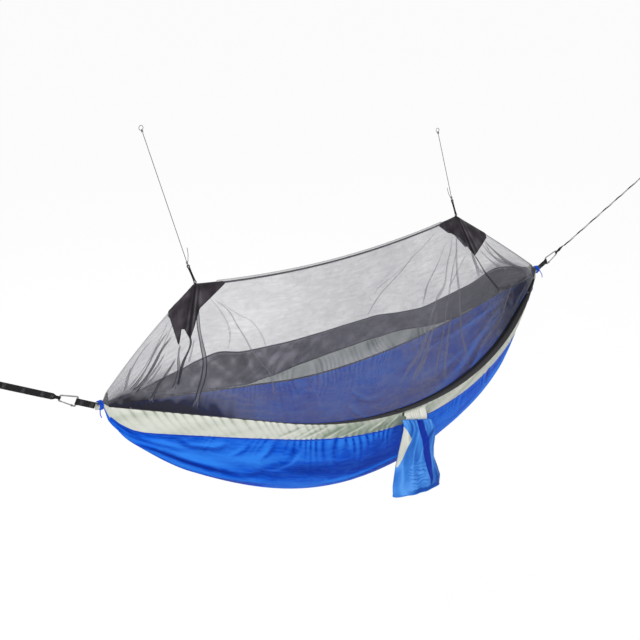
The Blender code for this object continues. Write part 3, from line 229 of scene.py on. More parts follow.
@dataclass(frozen=True)
class TentShape:
    """The curves that the hammock's cloth hangs in."""

    end_inset: float = 0.05
    near_angle: float = math.radians(23.4)
    near_radius: float = 1.657
    near_tilt: float = math.radians(43.1)
    far_angle: float = math.radians(17.6)
    far_radius: float = 1.53
    far_tilt: float = math.radians(53.2)
    bed_depth: float = 0.743
    bed_fullness: float = 0.793
    bed_skew: float = 0.159
    side_band: float = 0.087
    far_band: float = 0.09
    net_band: float = 0.12
    band_reach: float = 0.6
    band_taper: float = 0.15
    band_lean: float = 0.5
    left_peak: float = -0.749
    right_peak: float = 0.71
    peak_height: float = 0.361
    peak_back: float = 0.051
    ridge_sag: float = 0.055
    left_bulge: float = 0.024
    right_bulge: float = 0.008
    net_draw: float = 0.05
    ridge_seam: float = 0.006
    zip_tape: float = 0.065
    zip_taper: float = 0.25
    zip_slant: float = math.radians(33.0)
    far_hang: Marks = (
        (-1.25, 0.30), (-1.05, 0.30), (-0.9, 0.48), (-0.83, 0.54), (-0.72, 0.72), (-0.6, 0.88),
        (-0.48, 0.80), (-0.27, 0.88), (0.0, 0.97), (0.2, 1.0), (0.4, 0.97), (0.52, 0.82), (0.67, 0.67),
        (0.77, 0.70), (0.94, 0.73), (1.03, 0.98), (1.25, 1.0))
    near_hang: Marks = (
        (-1.25, 1.65), (-1.15, 1.60), (-1.0, 1.33), (-0.85, 1.22), (-0.7, 1.17), (-0.55, 1.06), (-0.4, 1.0),
        (0.75, 1.0), (0.88, 1.25), (1.0, 1.75), (1.1, 2.0), (1.25, 2.0))
    sage_hang: Marks = (
        (-1.25, 0.06), (-0.45, 0.08), (-0.25, 0.42), (-0.09, 0.76), (0.12, 0.96), (0.34, 1.0), (0.54, 0.84),
        (0.72, 0.30), (0.82, 0.08), (1.25, 0.06))
    line_angles: tuple[float, float] = (math.radians(27.5), math.radians(23.3))
    left_line: float = 0.502

    def origin(self) -> Array:
        """Return how far the layout moves to put the left anchor at the frame's origin."""
        reach, angle = self.left_line, self.line_angles[0]
        return np.array([HALF_LENGTH + reach * math.cos(angle), 0.0, -reach * math.sin(angle)])

    @staticmethod
    def ease(x: Array, reach: float, power: float) -> Array:
        """Return 1 away from the gathered ends, falling to 0 at them.

        Args:
            x: places along the hammock.
            reach: how far from an end the fall is half done.
            power: how late it comes.

        Returns:
            The share at each place.
        """
        away = np.maximum(HALF_LENGTH - np.abs(x), reach * 1e-3)
        return (1.0 + (reach / away) ** power) ** (-1.0 / power)

    def arc(self, near: bool) -> tuple[float, float, float, Array]:
        """Return the round part of a long edge.

        Args:
            near: whether the zipped edge is meant, and not the far one.

        Returns:
            Where it starts, its centre's place and height in the edge's plane, and that plane's way out.
        """
        angle, radius, tilt, side = (self.far_angle, self.far_radius, self.far_tilt, 1.0)
        if near:
            angle, radius, tilt, side = (self.near_angle, self.near_radius, self.near_tilt, -1.0)
        rise = HALF_LENGTH * math.sin(angle)
        run = 2.0 * HALF_LENGTH * math.cos(angle) - 2.0 * math.sqrt(rise * (radius - rise))
        touch = -HALF_LENGTH + run * math.cos(angle)
        centre_v = run * math.sin(angle) - radius * math.cos(angle)
        out = np.array([0.0, side * math.cos(tilt), -math.sin(tilt)])
        return touch, touch + radius * math.sin(angle), centre_v, out

    def edge(self, x: Array, near: bool) -> Array:
        """Return a long edge's points: straight from the left end, then a round arc.

        Args:
            x: places along the hammock.
            near: whether the zipped edge is meant, and not the far one.

        Returns:
            One point for each place.
        """
        touch, centre_x, centre_v, out = self.arc(near)
        angle, radius = (self.near_angle, self.near_radius) if near else (self.far_angle, self.far_radius)
        straight = (x + HALF_LENGTH) * math.tan(angle)
        round_part = centre_v + np.sqrt(np.maximum(radius ** 2 - (x - centre_x) ** 2, 0.0))
        along = np.zeros((len(x), 3))
        along[:, 0] = x
        return along + np.where(x < touch, straight, round_part)[:, None] * out

    def zip_way(self, x: Array) -> Array:
        """Return the zip tape's inward direction across it.

        Args:
            x: places along the hammock.

        Returns:
            One unit vector for each place.
        """
        touch, centre_x, centre_v, out = self.arc(True)
        centre = np.array([centre_x, 0.0, 0.0]) + out * centre_v
        axis = -np.cross(np.array([1.0, 0.0, 0.0]), out)
        radial = unit(self.edge(np.maximum(x, touch), True) - centre)
        return unit(-(math.sin(self.zip_slant) * radial + math.cos(self.zip_slant) * axis))

    def bottom(self, x: Array) -> Array:
        """Return the bed's lowest line.

        Args:
            x: places along the hammock.

        Returns:
            One point for each place.
        """
        u = x / HALF_LENGTH
        depth = self.bed_depth * (1.0 - u * u) ** self.bed_fullness * (1.0 + self.bed_skew * u)
        return np.stack([x, np.zeros_like(x), -depth], axis=-1)

    def ridge(self, x: Array) -> Array:
        """Return the net's top line over the two peaks and down to the gathered ends.

        Args:
            x: places along the hammock.

        Returns:
            One point for each place.
        """
        middle, half = (self.right_peak + self.left_peak) / 2.0, (self.right_peak - self.left_peak) / 2.0
        sag = self.ridge_sag * (1.0 - ((x - middle) / half) ** 2)
        peak = np.where(x < 0.0, -self.left_peak, self.right_peak)
        bulge = np.where(x < 0.0, self.left_bulge, self.right_bulge)
        along = (HALF_LENGTH - np.abs(x)) / (HALF_LENGTH - peak)
        slope = self.peak_height * along + 4.0 * bulge * along * (1.0 - along)
        between = (x >= self.left_peak) & (x <= self.right_peak)
        high = np.where(between, self.peak_height - sag, slope)
        back = np.where(between, self.peak_back, self.peak_back * along)
        return np.stack([x, back, high], axis=-1)


@dataclass(frozen=True)
class Spread:
    """Points spread over a panel: places along the hammock as a column, shares across the panel as a row."""

    x: Array
    share: Array
    width: Array

    @property
    def away(self) -> Array:
        """Return how far each place is from its gathered end."""
        return HALF_LENGTH - np.abs(self.x)

    @property
    def down(self) -> Array:
        """Return the distances from the panel's first edge."""
        return self.share * self.width

    @property
    def up(self) -> Array:
        """Return the distances from the panel's last edge."""
        return (1.0 - self.share) * self.width


@dataclass(frozen=True)
class Pleat:
    """A fold of net along a route over a panel, given as places along the hammock and shares across."""

    route: Marks
    width: float = 0.010
    layers: float = 5.0
    middle: float = 0.35
    proud: float = 0.0014

    def ribbon(self, loops: "Loops", panel: Panel, steps: int = 64) -> tuple[Array, Array]:
        """Return the fold's ribbon over the cloth.

        Args:
            loops: the cloth that it lies on.
            panel: the panel of net.
            steps: how many rows of faces it has.

        Returns:
            Points, rows by columns by three, and how many layers of net lie at each.
        """
        path = smooth_path([(x, s, 0.0) for x, s in self.route], steps + 1)
        centre, normal = loops.on(panel, path[:, 0], path[:, 1])
        across = unit(np.cross(normal, unit(np.gradient(centre, axis=0))))
        share = np.linspace(0.0, 1.0, steps + 1)
        ends = smooth_step(0.0, 0.10, share) * (1.0 - smooth_step(0.80, 1.0, share))
        wander = 1.0 + 0.45 * speckle(share * 5.0, self.route[0][0] * 40.0, 6.6)
        half = self.width / 2.0 * (0.45 + 0.75 * share) * wander
        points, layers = [], []
        # The rims carry more layers: denser net there, painted darker as shade by the net's material.
        for v, rim in ((-1.0, 1.0), (-0.72, 1.0), (-0.5, 0.0), (0.0, 0.0), (0.5, 0.0), (0.72, 0.8),
                       (1.0, 0.8)):
            rise = self.proud * (0.4 + 0.6 * (1.0 - v * v))
            points.append(centre + across * (half * v)[:, None] + normal * rise)
            layers.append(self.layers * (self.middle + (1.0 - self.middle) * rim) * ends)
        return np.stack(points, axis=1), np.stack(layers, axis=1)


@dataclass(frozen=True)
class Bunch:
    """A place where net lies bunched up in several layers."""

    place: float
    share: float
    reach: float
    spread: float
    layers: float

    def over(self, on: Spread) -> Array:
        """Return the added layers at points of the panel."""
        along, across = (on.x - self.place) / self.reach, (on.share - self.share) / self.spread
        return self.layers * np.exp(-(along ** 2) - across ** 2)


@dataclass(frozen=True)
class Crease:
    """A sharp fold of cloth along a route over a panel, with painted shade on its lower side and painted
    highlight on the other.
    """

    route: Marks
    width: float = 0.012
    height: float = 0.006
    tone: float = 1.0

    def over(self, on: Spread) -> tuple[Array, Array]:
        """Return the fold's height and its painted light and shade.

        Args:
            on: the panel's points.

        Returns:
            Heights in metres and painted shading tones from -1 to 1 at each point.
        """
        places = [place for place, _ in self.route]
        mid = float(np.interp(sum(places) / len(places), on.x[:, 0], on.width[:, 0]))
        path = smooth_path([(place, across * mid, 0.0) for place, across in self.route], 22)[:, :2]
        across = on.share * mid
        gap = np.full(np.broadcast_shapes(on.x.shape, on.share.shape), 9.0)
        side, run = np.zeros_like(gap), np.zeros_like(gap)
        for k, ((ax, ay), (bx, by)) in enumerate(zip(path[:-1], path[1:])):
            dx, dy = bx - ax, by - ay
            along = np.clip(((on.x - ax) * dx + (across - ay) * dy) / (dx * dx + dy * dy), 0.0, 1.0)
            gx, gy = on.x - ax - along * dx, across - ay - along * dy
            off = np.hypot(gx, gy)
            side = np.where(off < gap, np.sign(gy * dx - gx * dy), side)
            run = np.where(off < gap, (k + along) / (len(path) - 1), run)
            gap = np.minimum(gap, off)
        off, fade = gap / self.width, np.sin(math.pi * run) ** 0.6
        # Painted shade on one side of the fold and painted highlight on the other.
        shade = -2.0 * fade * self.tone * side * off * np.exp(-0.8 * off * off)
        return fade * self.height * np.exp(-off * off), shade


# The last number of each crease is the strength of its painted shade and highlight. A negative one swaps
# their sides.
CLOTH_CREASES: dict[Panel, tuple[Crease, ...]] = {
    Panel.BED: (
        Crease(((-1.156, 0.27), (-1.04, 0.204), (-0.868, 0.25), (-0.70, 0.275), (-0.636, 0.287),
                (-0.56, 0.26)), 0.022, 0.010, 1.3),
        Crease(((-1.104, 0.262), (-0.952, 0.333), (-0.80, 0.343), (-0.636, 0.352), (-0.492, 0.343)), 0.020,
                0.008),
        Crease(((-0.556, 0.24), (-0.468, 0.176), (-0.44, 0.10), (-0.432, 0.03)), 0.020, 0.007, -0.8),
        Crease(((-0.55, 0.03), (-0.565, 0.09), (-0.60, 0.16)), 0.013, 0.005, -0.8),
        Crease(((-0.66, 0.03), (-0.67, 0.08), (-0.72, 0.15)), 0.012, 0.004, -0.6),
        Crease(((-0.93, 0.05), (-0.88, 0.09), (-0.78, 0.08), (-0.74, 0.03)), 0.014, 0.005, 0.9),
        Crease(((-0.24, 0.35), (-0.08, 0.335), (0.05, 0.305), (0.19, 0.27), (0.34, 0.23)), 0.016, 0.008,
                1.6),
        Crease(((-1.13, 0.08), (-1.0, 0.12), (-0.9, 0.16)), 0.014, 0.005, 0.8),
        Crease(((1.12, 0.15), (0.98, 0.25), (0.80, 0.30), (0.62, 0.31)), 0.020, 0.008, 0.9),
        Crease(((1.10, 0.80), (0.95, 0.70), (0.78, 0.66), (0.6, 0.67)), 0.020, 0.009, -0.9),
        Crease(((1.06, 0.68), (0.90, 0.58), (0.70, 0.53)), 0.018, 0.008, -1.0),
        Crease(((-1.08, 0.80), (-0.9, 0.70), (-0.7, 0.68)), 0.020, 0.008, 0.8),
        Crease(((0.20, 0.88), (0.29, 0.80), (0.40, 0.78)), 0.012, 0.005, -1.0),
        Crease(((0.16, 0.82), (0.26, 0.72), (0.38, 0.70)), 0.012, 0.005, -0.9),
        Crease(((0.10, 0.76), (0.20, 0.65), (0.31, 0.62)), 0.012, 0.005, -0.8),
    ),
    Panel.NEAR_BAND: (
        Crease(((-0.54, 0.9), (-0.432, 0.05)), 0.007, 0.0035, -1.0),
        Crease(((-0.47, 0.95), (-0.385, 0.10)), 0.006, 0.0025, -0.8),
        Crease(((-0.43, 0.9), (-0.328, 0.05)), 0.008, 0.0035, -1.0),
        Crease(((-0.34, 0.95), (-0.25, 0.15)), 0.008, 0.0035, -1.0),
        Crease(((-0.26, 0.9), (-0.15, 0.2)), 0.007, 0.003, -0.8),
        Crease(((-0.12, 0.9), (-0.04, 0.2)), 0.007, 0.003, 0.8),
        Crease(((-0.02, 0.85), (0.03, 0.1)), 0.006, 0.003, 0.8),
    ),
}

NET_PLEATS: dict[Panel, tuple[Pleat, ...]] = {
    Panel.NEAR_NET: (
        Pleat(((-0.896, 0.144), (-0.96, 0.212), (-1.012, 0.341), (-1.072, 0.508), (-1.12, 0.621)), 0.011,
               9.0),
        Pleat(((-0.884, 0.22), (-0.944, 0.28), (-0.992, 0.402), (-1.056, 0.568), (-1.1, 0.674)), 0.015,
               13.5),
        Pleat(((-0.932, 0.341), (-1.004, 0.492), (-1.064, 0.614)), 0.009, 7.5),
        Pleat(((-0.952, 0.432), (-0.992, 0.53), (-1.036, 0.621)), 0.009, 6.0),
        Pleat(((-0.968, 0.083), (-1.036, 0.091), (-1.092, 0.205), (-1.128, 0.417)), 0.009, 5.2),
        Pleat(((-1.088, 0.129), (-1.116, 0.424), (-1.132, 0.568)), 0.009, 6.8),
        Pleat(((-0.888, 0.447), (-0.952, 0.591), (-0.984, 0.674), (-1.024, 0.871)), 0.013, 13.5),
        Pleat(((-0.86, 0.341), (-0.876, 0.439), (-0.884, 0.568), (-0.904, 0.682), (-0.932, 0.78)), 0.016,
               10.5),
        Pleat(((-0.816, 0.288), (-0.816, 0.394), (-0.86, 0.515), (-0.888, 0.644), (-0.908, 0.742)), 0.016,
               16.5, 0.6),
        Pleat(((-0.796, 0.371), (-0.82, 0.47), (-0.84, 0.545)), 0.009, 5.2),
        Pleat(((-0.756, 0.14), (-0.768, 0.288), (-0.768, 0.432), (-0.768, 0.568), (-0.788, 0.689),
               (-0.82, 0.811), (-0.85, 0.95)), 0.024, 12.0, 0.3),
        Pleat(((-0.684, 0.106), (-0.62, 0.205), (-0.592, 0.318), (-0.568, 0.409), (-0.548, 0.508),
               (-0.516, 0.606), (-0.492, 0.674), (-0.504, 0.871)), 0.009, 4.5),
        Pleat(((-0.656, 0.136), (-0.58, 0.235), (-0.516, 0.303), (-0.484, 0.417), (-0.48, 0.523)), 0.007,
               2.0),
        Pleat(((0.71, 0.01), (0.676, 0.227), (0.656, 0.364), (0.64, 0.5), (0.608, 0.652), (0.584, 0.758),
               (0.572, 0.902), (0.552, 0.99)), 0.017, 3.6, 0.5),
        Pleat(((0.668, 0.098), (0.64, 0.205), (0.604, 0.288), (0.564, 0.402), (0.504, 0.462), (0.444, 0.53),
               (0.404, 0.606), (0.34, 0.697), (0.272, 0.758), (0.212, 0.795), (0.136, 0.864),
               (0.092, 0.924)), 0.016, 2.4, 0.6),
        Pleat(((0.69, 0.20), (0.6, 0.417), (0.572, 0.485), (0.524, 0.576), (0.488, 0.659), (0.444, 0.735),
               (0.4, 0.803), (0.356, 0.879), (0.316, 0.955)), 0.012, 4.0),
        Pleat(((0.544, 0.424), (0.504, 0.447), (0.476, 0.492), (0.428, 0.553), (0.376, 0.636),
               (0.316, 0.705)), 0.010, 3.0),
        Pleat(((0.736, 0.28), (0.684, 0.348), (0.636, 0.394), (0.58, 0.447)), 0.008, 3.0),
        Pleat(((0.47, 0.55), (0.408, 0.652), (0.312, 0.78), (0.244, 0.841), (0.18, 0.90)), 0.022, 2.2, 0.8),
        Pleat(((0.56, 0.60), (0.50, 0.72), (0.44, 0.84), (0.38, 0.97)), 0.020, 2.0, 0.8),
        Pleat(((0.79, 0.26), (0.812, 0.311), (0.848, 0.417), (0.888, 0.515), (0.935, 0.64)), 0.010, 16.0,
               0.95),
        Pleat(((0.80, 0.01), (0.788, 0.167), (0.78, 0.273), (0.792, 0.371), (0.80, 0.48)), 0.015, 4.0, 0.5),
        Pleat(((0.868, 0.076), (0.924, 0.129), (1.0, 0.212), (1.1, 0.318), (1.19, 0.402)), 0.020, 5.0, 0.7),
        Pleat(((0.876, 0.106), (0.944, 0.242), (1.036, 0.28), (1.16, 0.348)), 0.012, 6.0),
        Pleat(((0.836, 0.197), (0.888, 0.265), (0.956, 0.333), (1.03, 0.36)), 0.011, 4.5),
        Pleat(((0.90, 0.58), (1.016, 0.636), (1.1, 0.659), (1.195, 0.689)), 0.014, 7.0, 0.6),
        Pleat(((0.43, 0.79), (0.5, 0.886), (0.536, 0.99)), 0.010, 2.0),
        Pleat(((1.048, 0.591), (0.916, 0.848), (0.784, 0.909), (0.644, 0.947)), 0.016, 3.5, 0.7),
        Pleat(((1.16, 0.80), (1.012, 0.94), (0.804, 0.975)), 0.018, 5.0, 0.8),
    ),
    Panel.FAR_NET: (
        Pleat(((0.60, 0.94), (0.564, 0.881), (0.512, 0.786), (0.468, 0.726), (0.42, 0.571), (0.372, 0.44),
               (0.34, 0.321), (0.328, 0.143), (0.336, 0.012)), 0.008, 5.0),
        Pleat(((0.472, 0.702), (0.392, 0.571), (0.308, 0.44), (0.296, 0.333)), 0.006, 3.0),
        Pleat(((0.67, 0.75), (0.664, 0.631), (0.652, 0.488), (0.636, 0.31), (0.644, 0.179), (0.66, 0.01)),
               0.008, 4.5),
        Pleat(((-0.70, 0.88), (-0.62, 0.60), (-0.56, 0.30), (-0.55, 0.02)), 0.008, 2.0),
        Pleat(((-0.84, 0.88), (-0.92, 0.55), (-1.02, 0.12)), 0.010, 3.0),
        Pleat(((-0.88, 0.90), (-1.0, 0.50), (-1.12, 0.15)), 0.009, 3.0),
        Pleat(((0.80, 0.86), (0.88, 0.50), (0.98, 0.10)), 0.010, 3.5),
        Pleat(((0.86, 0.92), (0.98, 0.60), (1.14, 0.20)), 0.010, 3.5),
    ),
}

NET_BUNCHES: dict[Panel, tuple[Bunch, ...]] = {
    Panel.NEAR_NET: (
        Bunch(-0.98, 1.0, 0.20, 0.13, 7.0),
        Bunch(-1.16, 0.8, 0.07, 0.5, 2.5),
        # At the right end these bunches partly stand in for the shade inside the hammock: their added layers
        # make the net, and what lies behind it, darker.
        Bunch(1.10, 0.75, 0.13, 0.22, 3.5),
        Bunch(0.92, 1.0, 0.16, 0.14, 1.6),
        Bunch(0.86, 0.78, 0.14, 0.16, 1.0),
        Bunch(1.02, 0.80, 0.15, 0.24, 2.2),
        Bunch(-0.88, 1.0, 0.24, 0.20, 4.5),
        Bunch(-1.1, 0.85, 0.10, 0.30, 2.0),
        Bunch(0.40, 0.72, 0.22, 0.20, 0.7),
        Bunch(0.10, 0.97, 0.35, 0.10, 1.0),
        Bunch(-0.50, 0.30, 0.28, 0.40, -0.35),
        Bunch(0.15, 0.10, 0.30, 0.35, 0.30),
    ),
    Panel.FAR_NET: (
        Bunch(-1.05, 0.0, 0.18, 0.12, 4.0),
        Bunch(1.08, 0.1, 0.12, 0.25, 2.5),
        Bunch(-0.45, 0.60, 0.30, 0.60, -0.35),
    ),
}


@dataclass(frozen=True)
class Drape:
    """The folds, puckers and pleats of the hanging cloth, as heights over its plain curves, with the painted
    shade and highlight that each gives the cloth's colour.
    """

    long_fold: float = 0.0105
    seam_pucker: float = 0.0030
    far_pucker: float = 0.0032
    scallop: float = 0.0030
    crinkle: float = 0.0042
    seam_pitch: float = 0.034
    edge_pitch: float = 0.037

    def seam_wave(self, x: Array, down: Array) -> Array:
        """Return the puckers below the seam between band and bed, which slant more towards the left end.

        Args:
            x: places along the hammock, as a column.
            down: distances from the seam, as a row or a grid.

        Returns:
            A wave at each point.
        """
        place = x + down * np.interp(x, (-0.8, -0.45, -0.2, 0.3), (0.5, 0.05, -0.42, -0.5))
        drift = speckle(place * 7.0, down * 3.0, 4.1)
        strength = 0.75 + 1.1 * speckle(place * 8.0, 0.0, 9.3)
        length = 0.030 + 0.11 * np.clip(0.5 + 1.2 * speckle(place * 13.0, 0.0, 6.6), 0.0, 1.0)
        fade = np.exp(-((down / length) ** 1.5)) * smooth_step(-0.95, -0.45, x)
        return cusps(math.pi * place / self.seam_pitch + 7.0 * drift) * strength * fade

    def far_wave(self, x: Array, down: Array) -> Array:
        """Return the puckers along the far seam.

        Args:
            x: places along the hammock, as a column.
            down: distances from the seam, as a grid.

        Returns:
            A wave at each point.
        """
        place = x + 0.25 * down + 0.03 * speckle(x * 6.0, down * 9.0, 5.5)
        drift = speckle(place * 7.0, down * 4.0, 14.7)
        strength = 0.6 + 1.2 * speckle(place * 8.0, 0.0, 2.9)
        return cusps(math.pi * place / self.seam_pitch + 7.0 * drift) * strength

    def edge_wave(self, x: Array, down: Array) -> Array:
        """Return the scallops along the zipped edge, strongest towards the left end.

        Args:
            x: places along the hammock, as a column.
            down: distances from the edge, as a row or a grid.

        Returns:
            A wave at each point.
        """
        place = x - 0.55 * down - 3.0 * down * down
        drift = 2.0 * speckle(place * 6.4, 0.0, 21.2)
        fade = 0.22 + 0.78 * (1.0 - smooth_step(-0.55, -0.1, x))
        ends = smooth_step(0.04, 0.14, HALF_LENGTH - np.abs(x))
        return cusps(math.pi * place / self.edge_pitch + 2.5 * drift) * fade * ends

    def bed(self, on: Spread) -> tuple[Array, Array]:
        """Return the bed's heights and painted tones: long folds from both gathers, and puckers below its
        seams, painted dark in their valleys and light on their crests.

        Args:
            on: the bed's points.

        Returns:
            Heights in metres and painted shade and highlight tones about 0.
        """
        away, side = on.away, np.sign(on.x)
        hold = smooth_step(0.0, 0.07, on.share) * (1.0 - smooth_step(0.93, 1.0, on.share))
        reach = smooth_step(0.0, 0.14, away) * np.exp(-((away / 0.62) ** 1.6)) + 0.13
        folds = speckle(on.share * 8.0 + side * 9.1 + 0.5 * away, away * 1.5, 3.1)
        sharp = creases(speckle(on.share * 5.5 + side * 4.7 - 0.8 * away, away * 1.1, 7.7))
        broad = speckle(on.x * 2.3, on.share * 2.6, 1.9)
        ripple = self.seam_wave(on.x, on.down)
        pucker = self.far_wave(on.x, on.up) * np.exp(-on.up / 0.075)
        height = self.long_fold * (hold * reach * (folds + 0.9 * sharp)) + hold * 0.006 * broad
        height = height + self.seam_pucker * ripple + self.far_pucker * pucker
        tone = 2.6 * hold * reach * (folds + 0.6 * (sharp - 0.25)) + 0.5 * broad + 1.2 * ripple + pucker
        # Painted shade: a dark band along share 0.27 of the bed, starting at x -0.7 and full from x -0.3
        # rightwards.
        return height, tone - 0.45 * bell(on.share - 0.27, 0.07) * smooth_step(-0.7, -0.3, on.x)

    def near_band(self, on: Spread) -> tuple[Array, Array]:
        """Return the near band's heights and painted tones: scallops, seam puckers and slanting drags, with
        painted shade where the band turns downward.

        Args:
            on: the band's points.

        Returns:
            Heights in metres and painted shade and highlight tones about 0.
        """
        ripple = self.seam_wave(on.x, 0.0 * on.share) * np.exp(-on.up / 0.018)
        scallops = self.edge_wave(on.x, on.down) * np.exp(-on.down / 0.045)
        drag = speckle((on.x + 2.6 * on.share * on.width) * 9.0, (on.down - 0.12 * on.x) * 5.0, 5.2)
        height = self.seam_pucker * ripple + self.scallop * scallops
        height = height + 0.0030 * drag * np.sin(math.pi * on.share) * smooth_step(0.05, 0.25, on.away)
        # Painted shade where the band turns downward, between x -0.5 and 0.35, deeper towards its seam with
        # the bed.
        turned = smooth_step(-0.50, -0.20, on.x) * (1.0 - smooth_step(0.10, 0.35, on.x))
        return height, 0.8 * ripple + 0.75 * scallops + 0.6 * drag - turned * (0.45 + 0.7 * on.share)

    def far_band(self, on: Spread) -> tuple[Array, Array]:
        """Return the far band's heights and painted tones: puckers at its seam and crinkles past them,
        painted darker in their valleys and lighter on their crests.

        Args:
            on: the band's points.

        Returns:
            Heights in metres and painted shade and highlight tones about 0.
        """
        pucker = self.far_wave(on.x, on.down)
        wild = speckle(on.x * 17.0, on.down * 14.0, 8.4)
        middle = np.sin(math.pi * np.clip(on.share + 0.12, 0.0, 1.0))
        height = self.far_pucker * pucker * np.exp(-on.down / 0.05)
        height = height + self.crinkle * wild * middle * smooth_step(0.04, 0.2, on.away)
        return height, 0.8 * pucker * (1.0 - 0.5 * on.share) + 1.2 * wild

    def net_band(self, on: Spread) -> tuple[Array, Array]:
        """Return the dark band's heights and painted tones: angular crumples, strongest towards the left
        end, with painted highlights on their facets and painted shade towards the gathered ends.

        Args:
            on: the band's points.

        Returns:
            Heights in metres and painted shade and highlight tones about 0.
        """
        wild = speckle(on.x * 9.0, on.down * 9.0 + 3.0, 8.4)
        planes = []
        for turn, pitch, seed in ((0.35, 17.0, 1.7), (1.25, 23.0, 5.9), (2.45, 19.0, 3.2), (1.9, 31.0, 7.1)):
            place = on.x * math.cos(turn) + on.down * math.sin(turn)
            drift = 0.9 * speckle(on.x * 7.0 + turn, on.down * 8.0, seed)
            planes.append(np.abs((place * pitch + drift) % 2.0 - 1.0))
        facets = np.maximum(planes[0], planes[1]) - np.maximum(planes[2], planes[3])
        crumpled = 0.30 + 0.70 * smooth_step(0.15, -0.35, on.x)
        calm = smooth_step(0.04, 0.25, on.away) * (0.35 + 0.65 * np.sin(math.pi * on.share)) * crumpled
        # Painted highlights and shade on the crumples' facets, and painted shade towards the gathered ends.
        tone = crumpled * (0.9 * wild + 1.3 * facets - 0.1) - 0.7 * (1.0 - smooth_step(0.15, 0.55, on.away))
        return self.crinkle * calm * (1.1 * wild + 1.3 * facets), tone

    def outer_tape(self, on: Spread) -> tuple[Array, Array]:
        """Return the outer zip tape's heights, which follow the band's scallops, and its plain tones.

        Args:
            on: the tape's points.

        Returns:
            Heights in metres and tones of 0.
        """
        height = self.scallop * self.edge_wave(on.x, 0.0 * on.share) * np.exp(-on.up / 0.009)
        return height, np.zeros_like(height)

    @staticmethod
    def net(on: Spread, panel: Panel) -> tuple[Array, Array]:
        """Return a net panel's heights and how many layers of net lie there.

        Args:
            on: the panel's points.
            panel: the panel.

        Returns:
            Heights in metres and numbers of layers.
        """
        far = panel is Panel.FAR_NET
        calm = np.sin(math.pi * on.share) ** 0.7 * smooth_step(0.05, 0.3, on.away)
        height = 0.0035 * calm * speckle(on.x * 4.0, on.down * 4.5, 11.0 if far else 12.6)
        layers = 1.0 + 0.9 * np.exp(-on.away / 0.085) + np.zeros_like(height)
        for bunch in NET_BUNCHES[panel]:
            layers = layers + bunch.over(on) * (1.0 + 0.5 * speckle(on.x * 30.0, on.share * 9.0, 2.2))
        hem = on.up if far else on.down
        return height, np.maximum(layers + 0.7 * np.exp(-((hem / 0.006) ** 2)), 0.3)

    def relief(self, panel: Panel, x: Array, share: Array, width: Array) -> tuple[Array, Array]:
        """Return a panel's fold heights and how much cloth lies there.

        Args:
            panel: the panel.
            x: places along the hammock.
            share: shares across the panel.
            width: the panel's width at each place.

        Returns:
            Heights in metres, and for net how many layers lie there, or for cloth a painted shade and
            highlight tone from -1 to 1.
        """
        on = Spread(x[:, None], share[None, :], width[:, None])
        if panel in NET_BUNCHES:
            return self.net(on, panel)
        folded = {Panel.BED: self.bed, Panel.NEAR_BAND: self.near_band, Panel.FAR_BAND: self.far_band,
                  Panel.NET_BAND: self.net_band, Panel.TAPE_OUTER: self.outer_tape}
        plain = np.zeros((len(x), len(share)))
        height, tone = folded[panel](on) if panel in folded else (plain, plain)
        for crease in CLOTH_CREASES.get(panel, ()):
            lift, shade = crease.over(on)
            height, tone = height + lift, tone + shade
        return height, np.clip(tone, -1.0, 1.0)


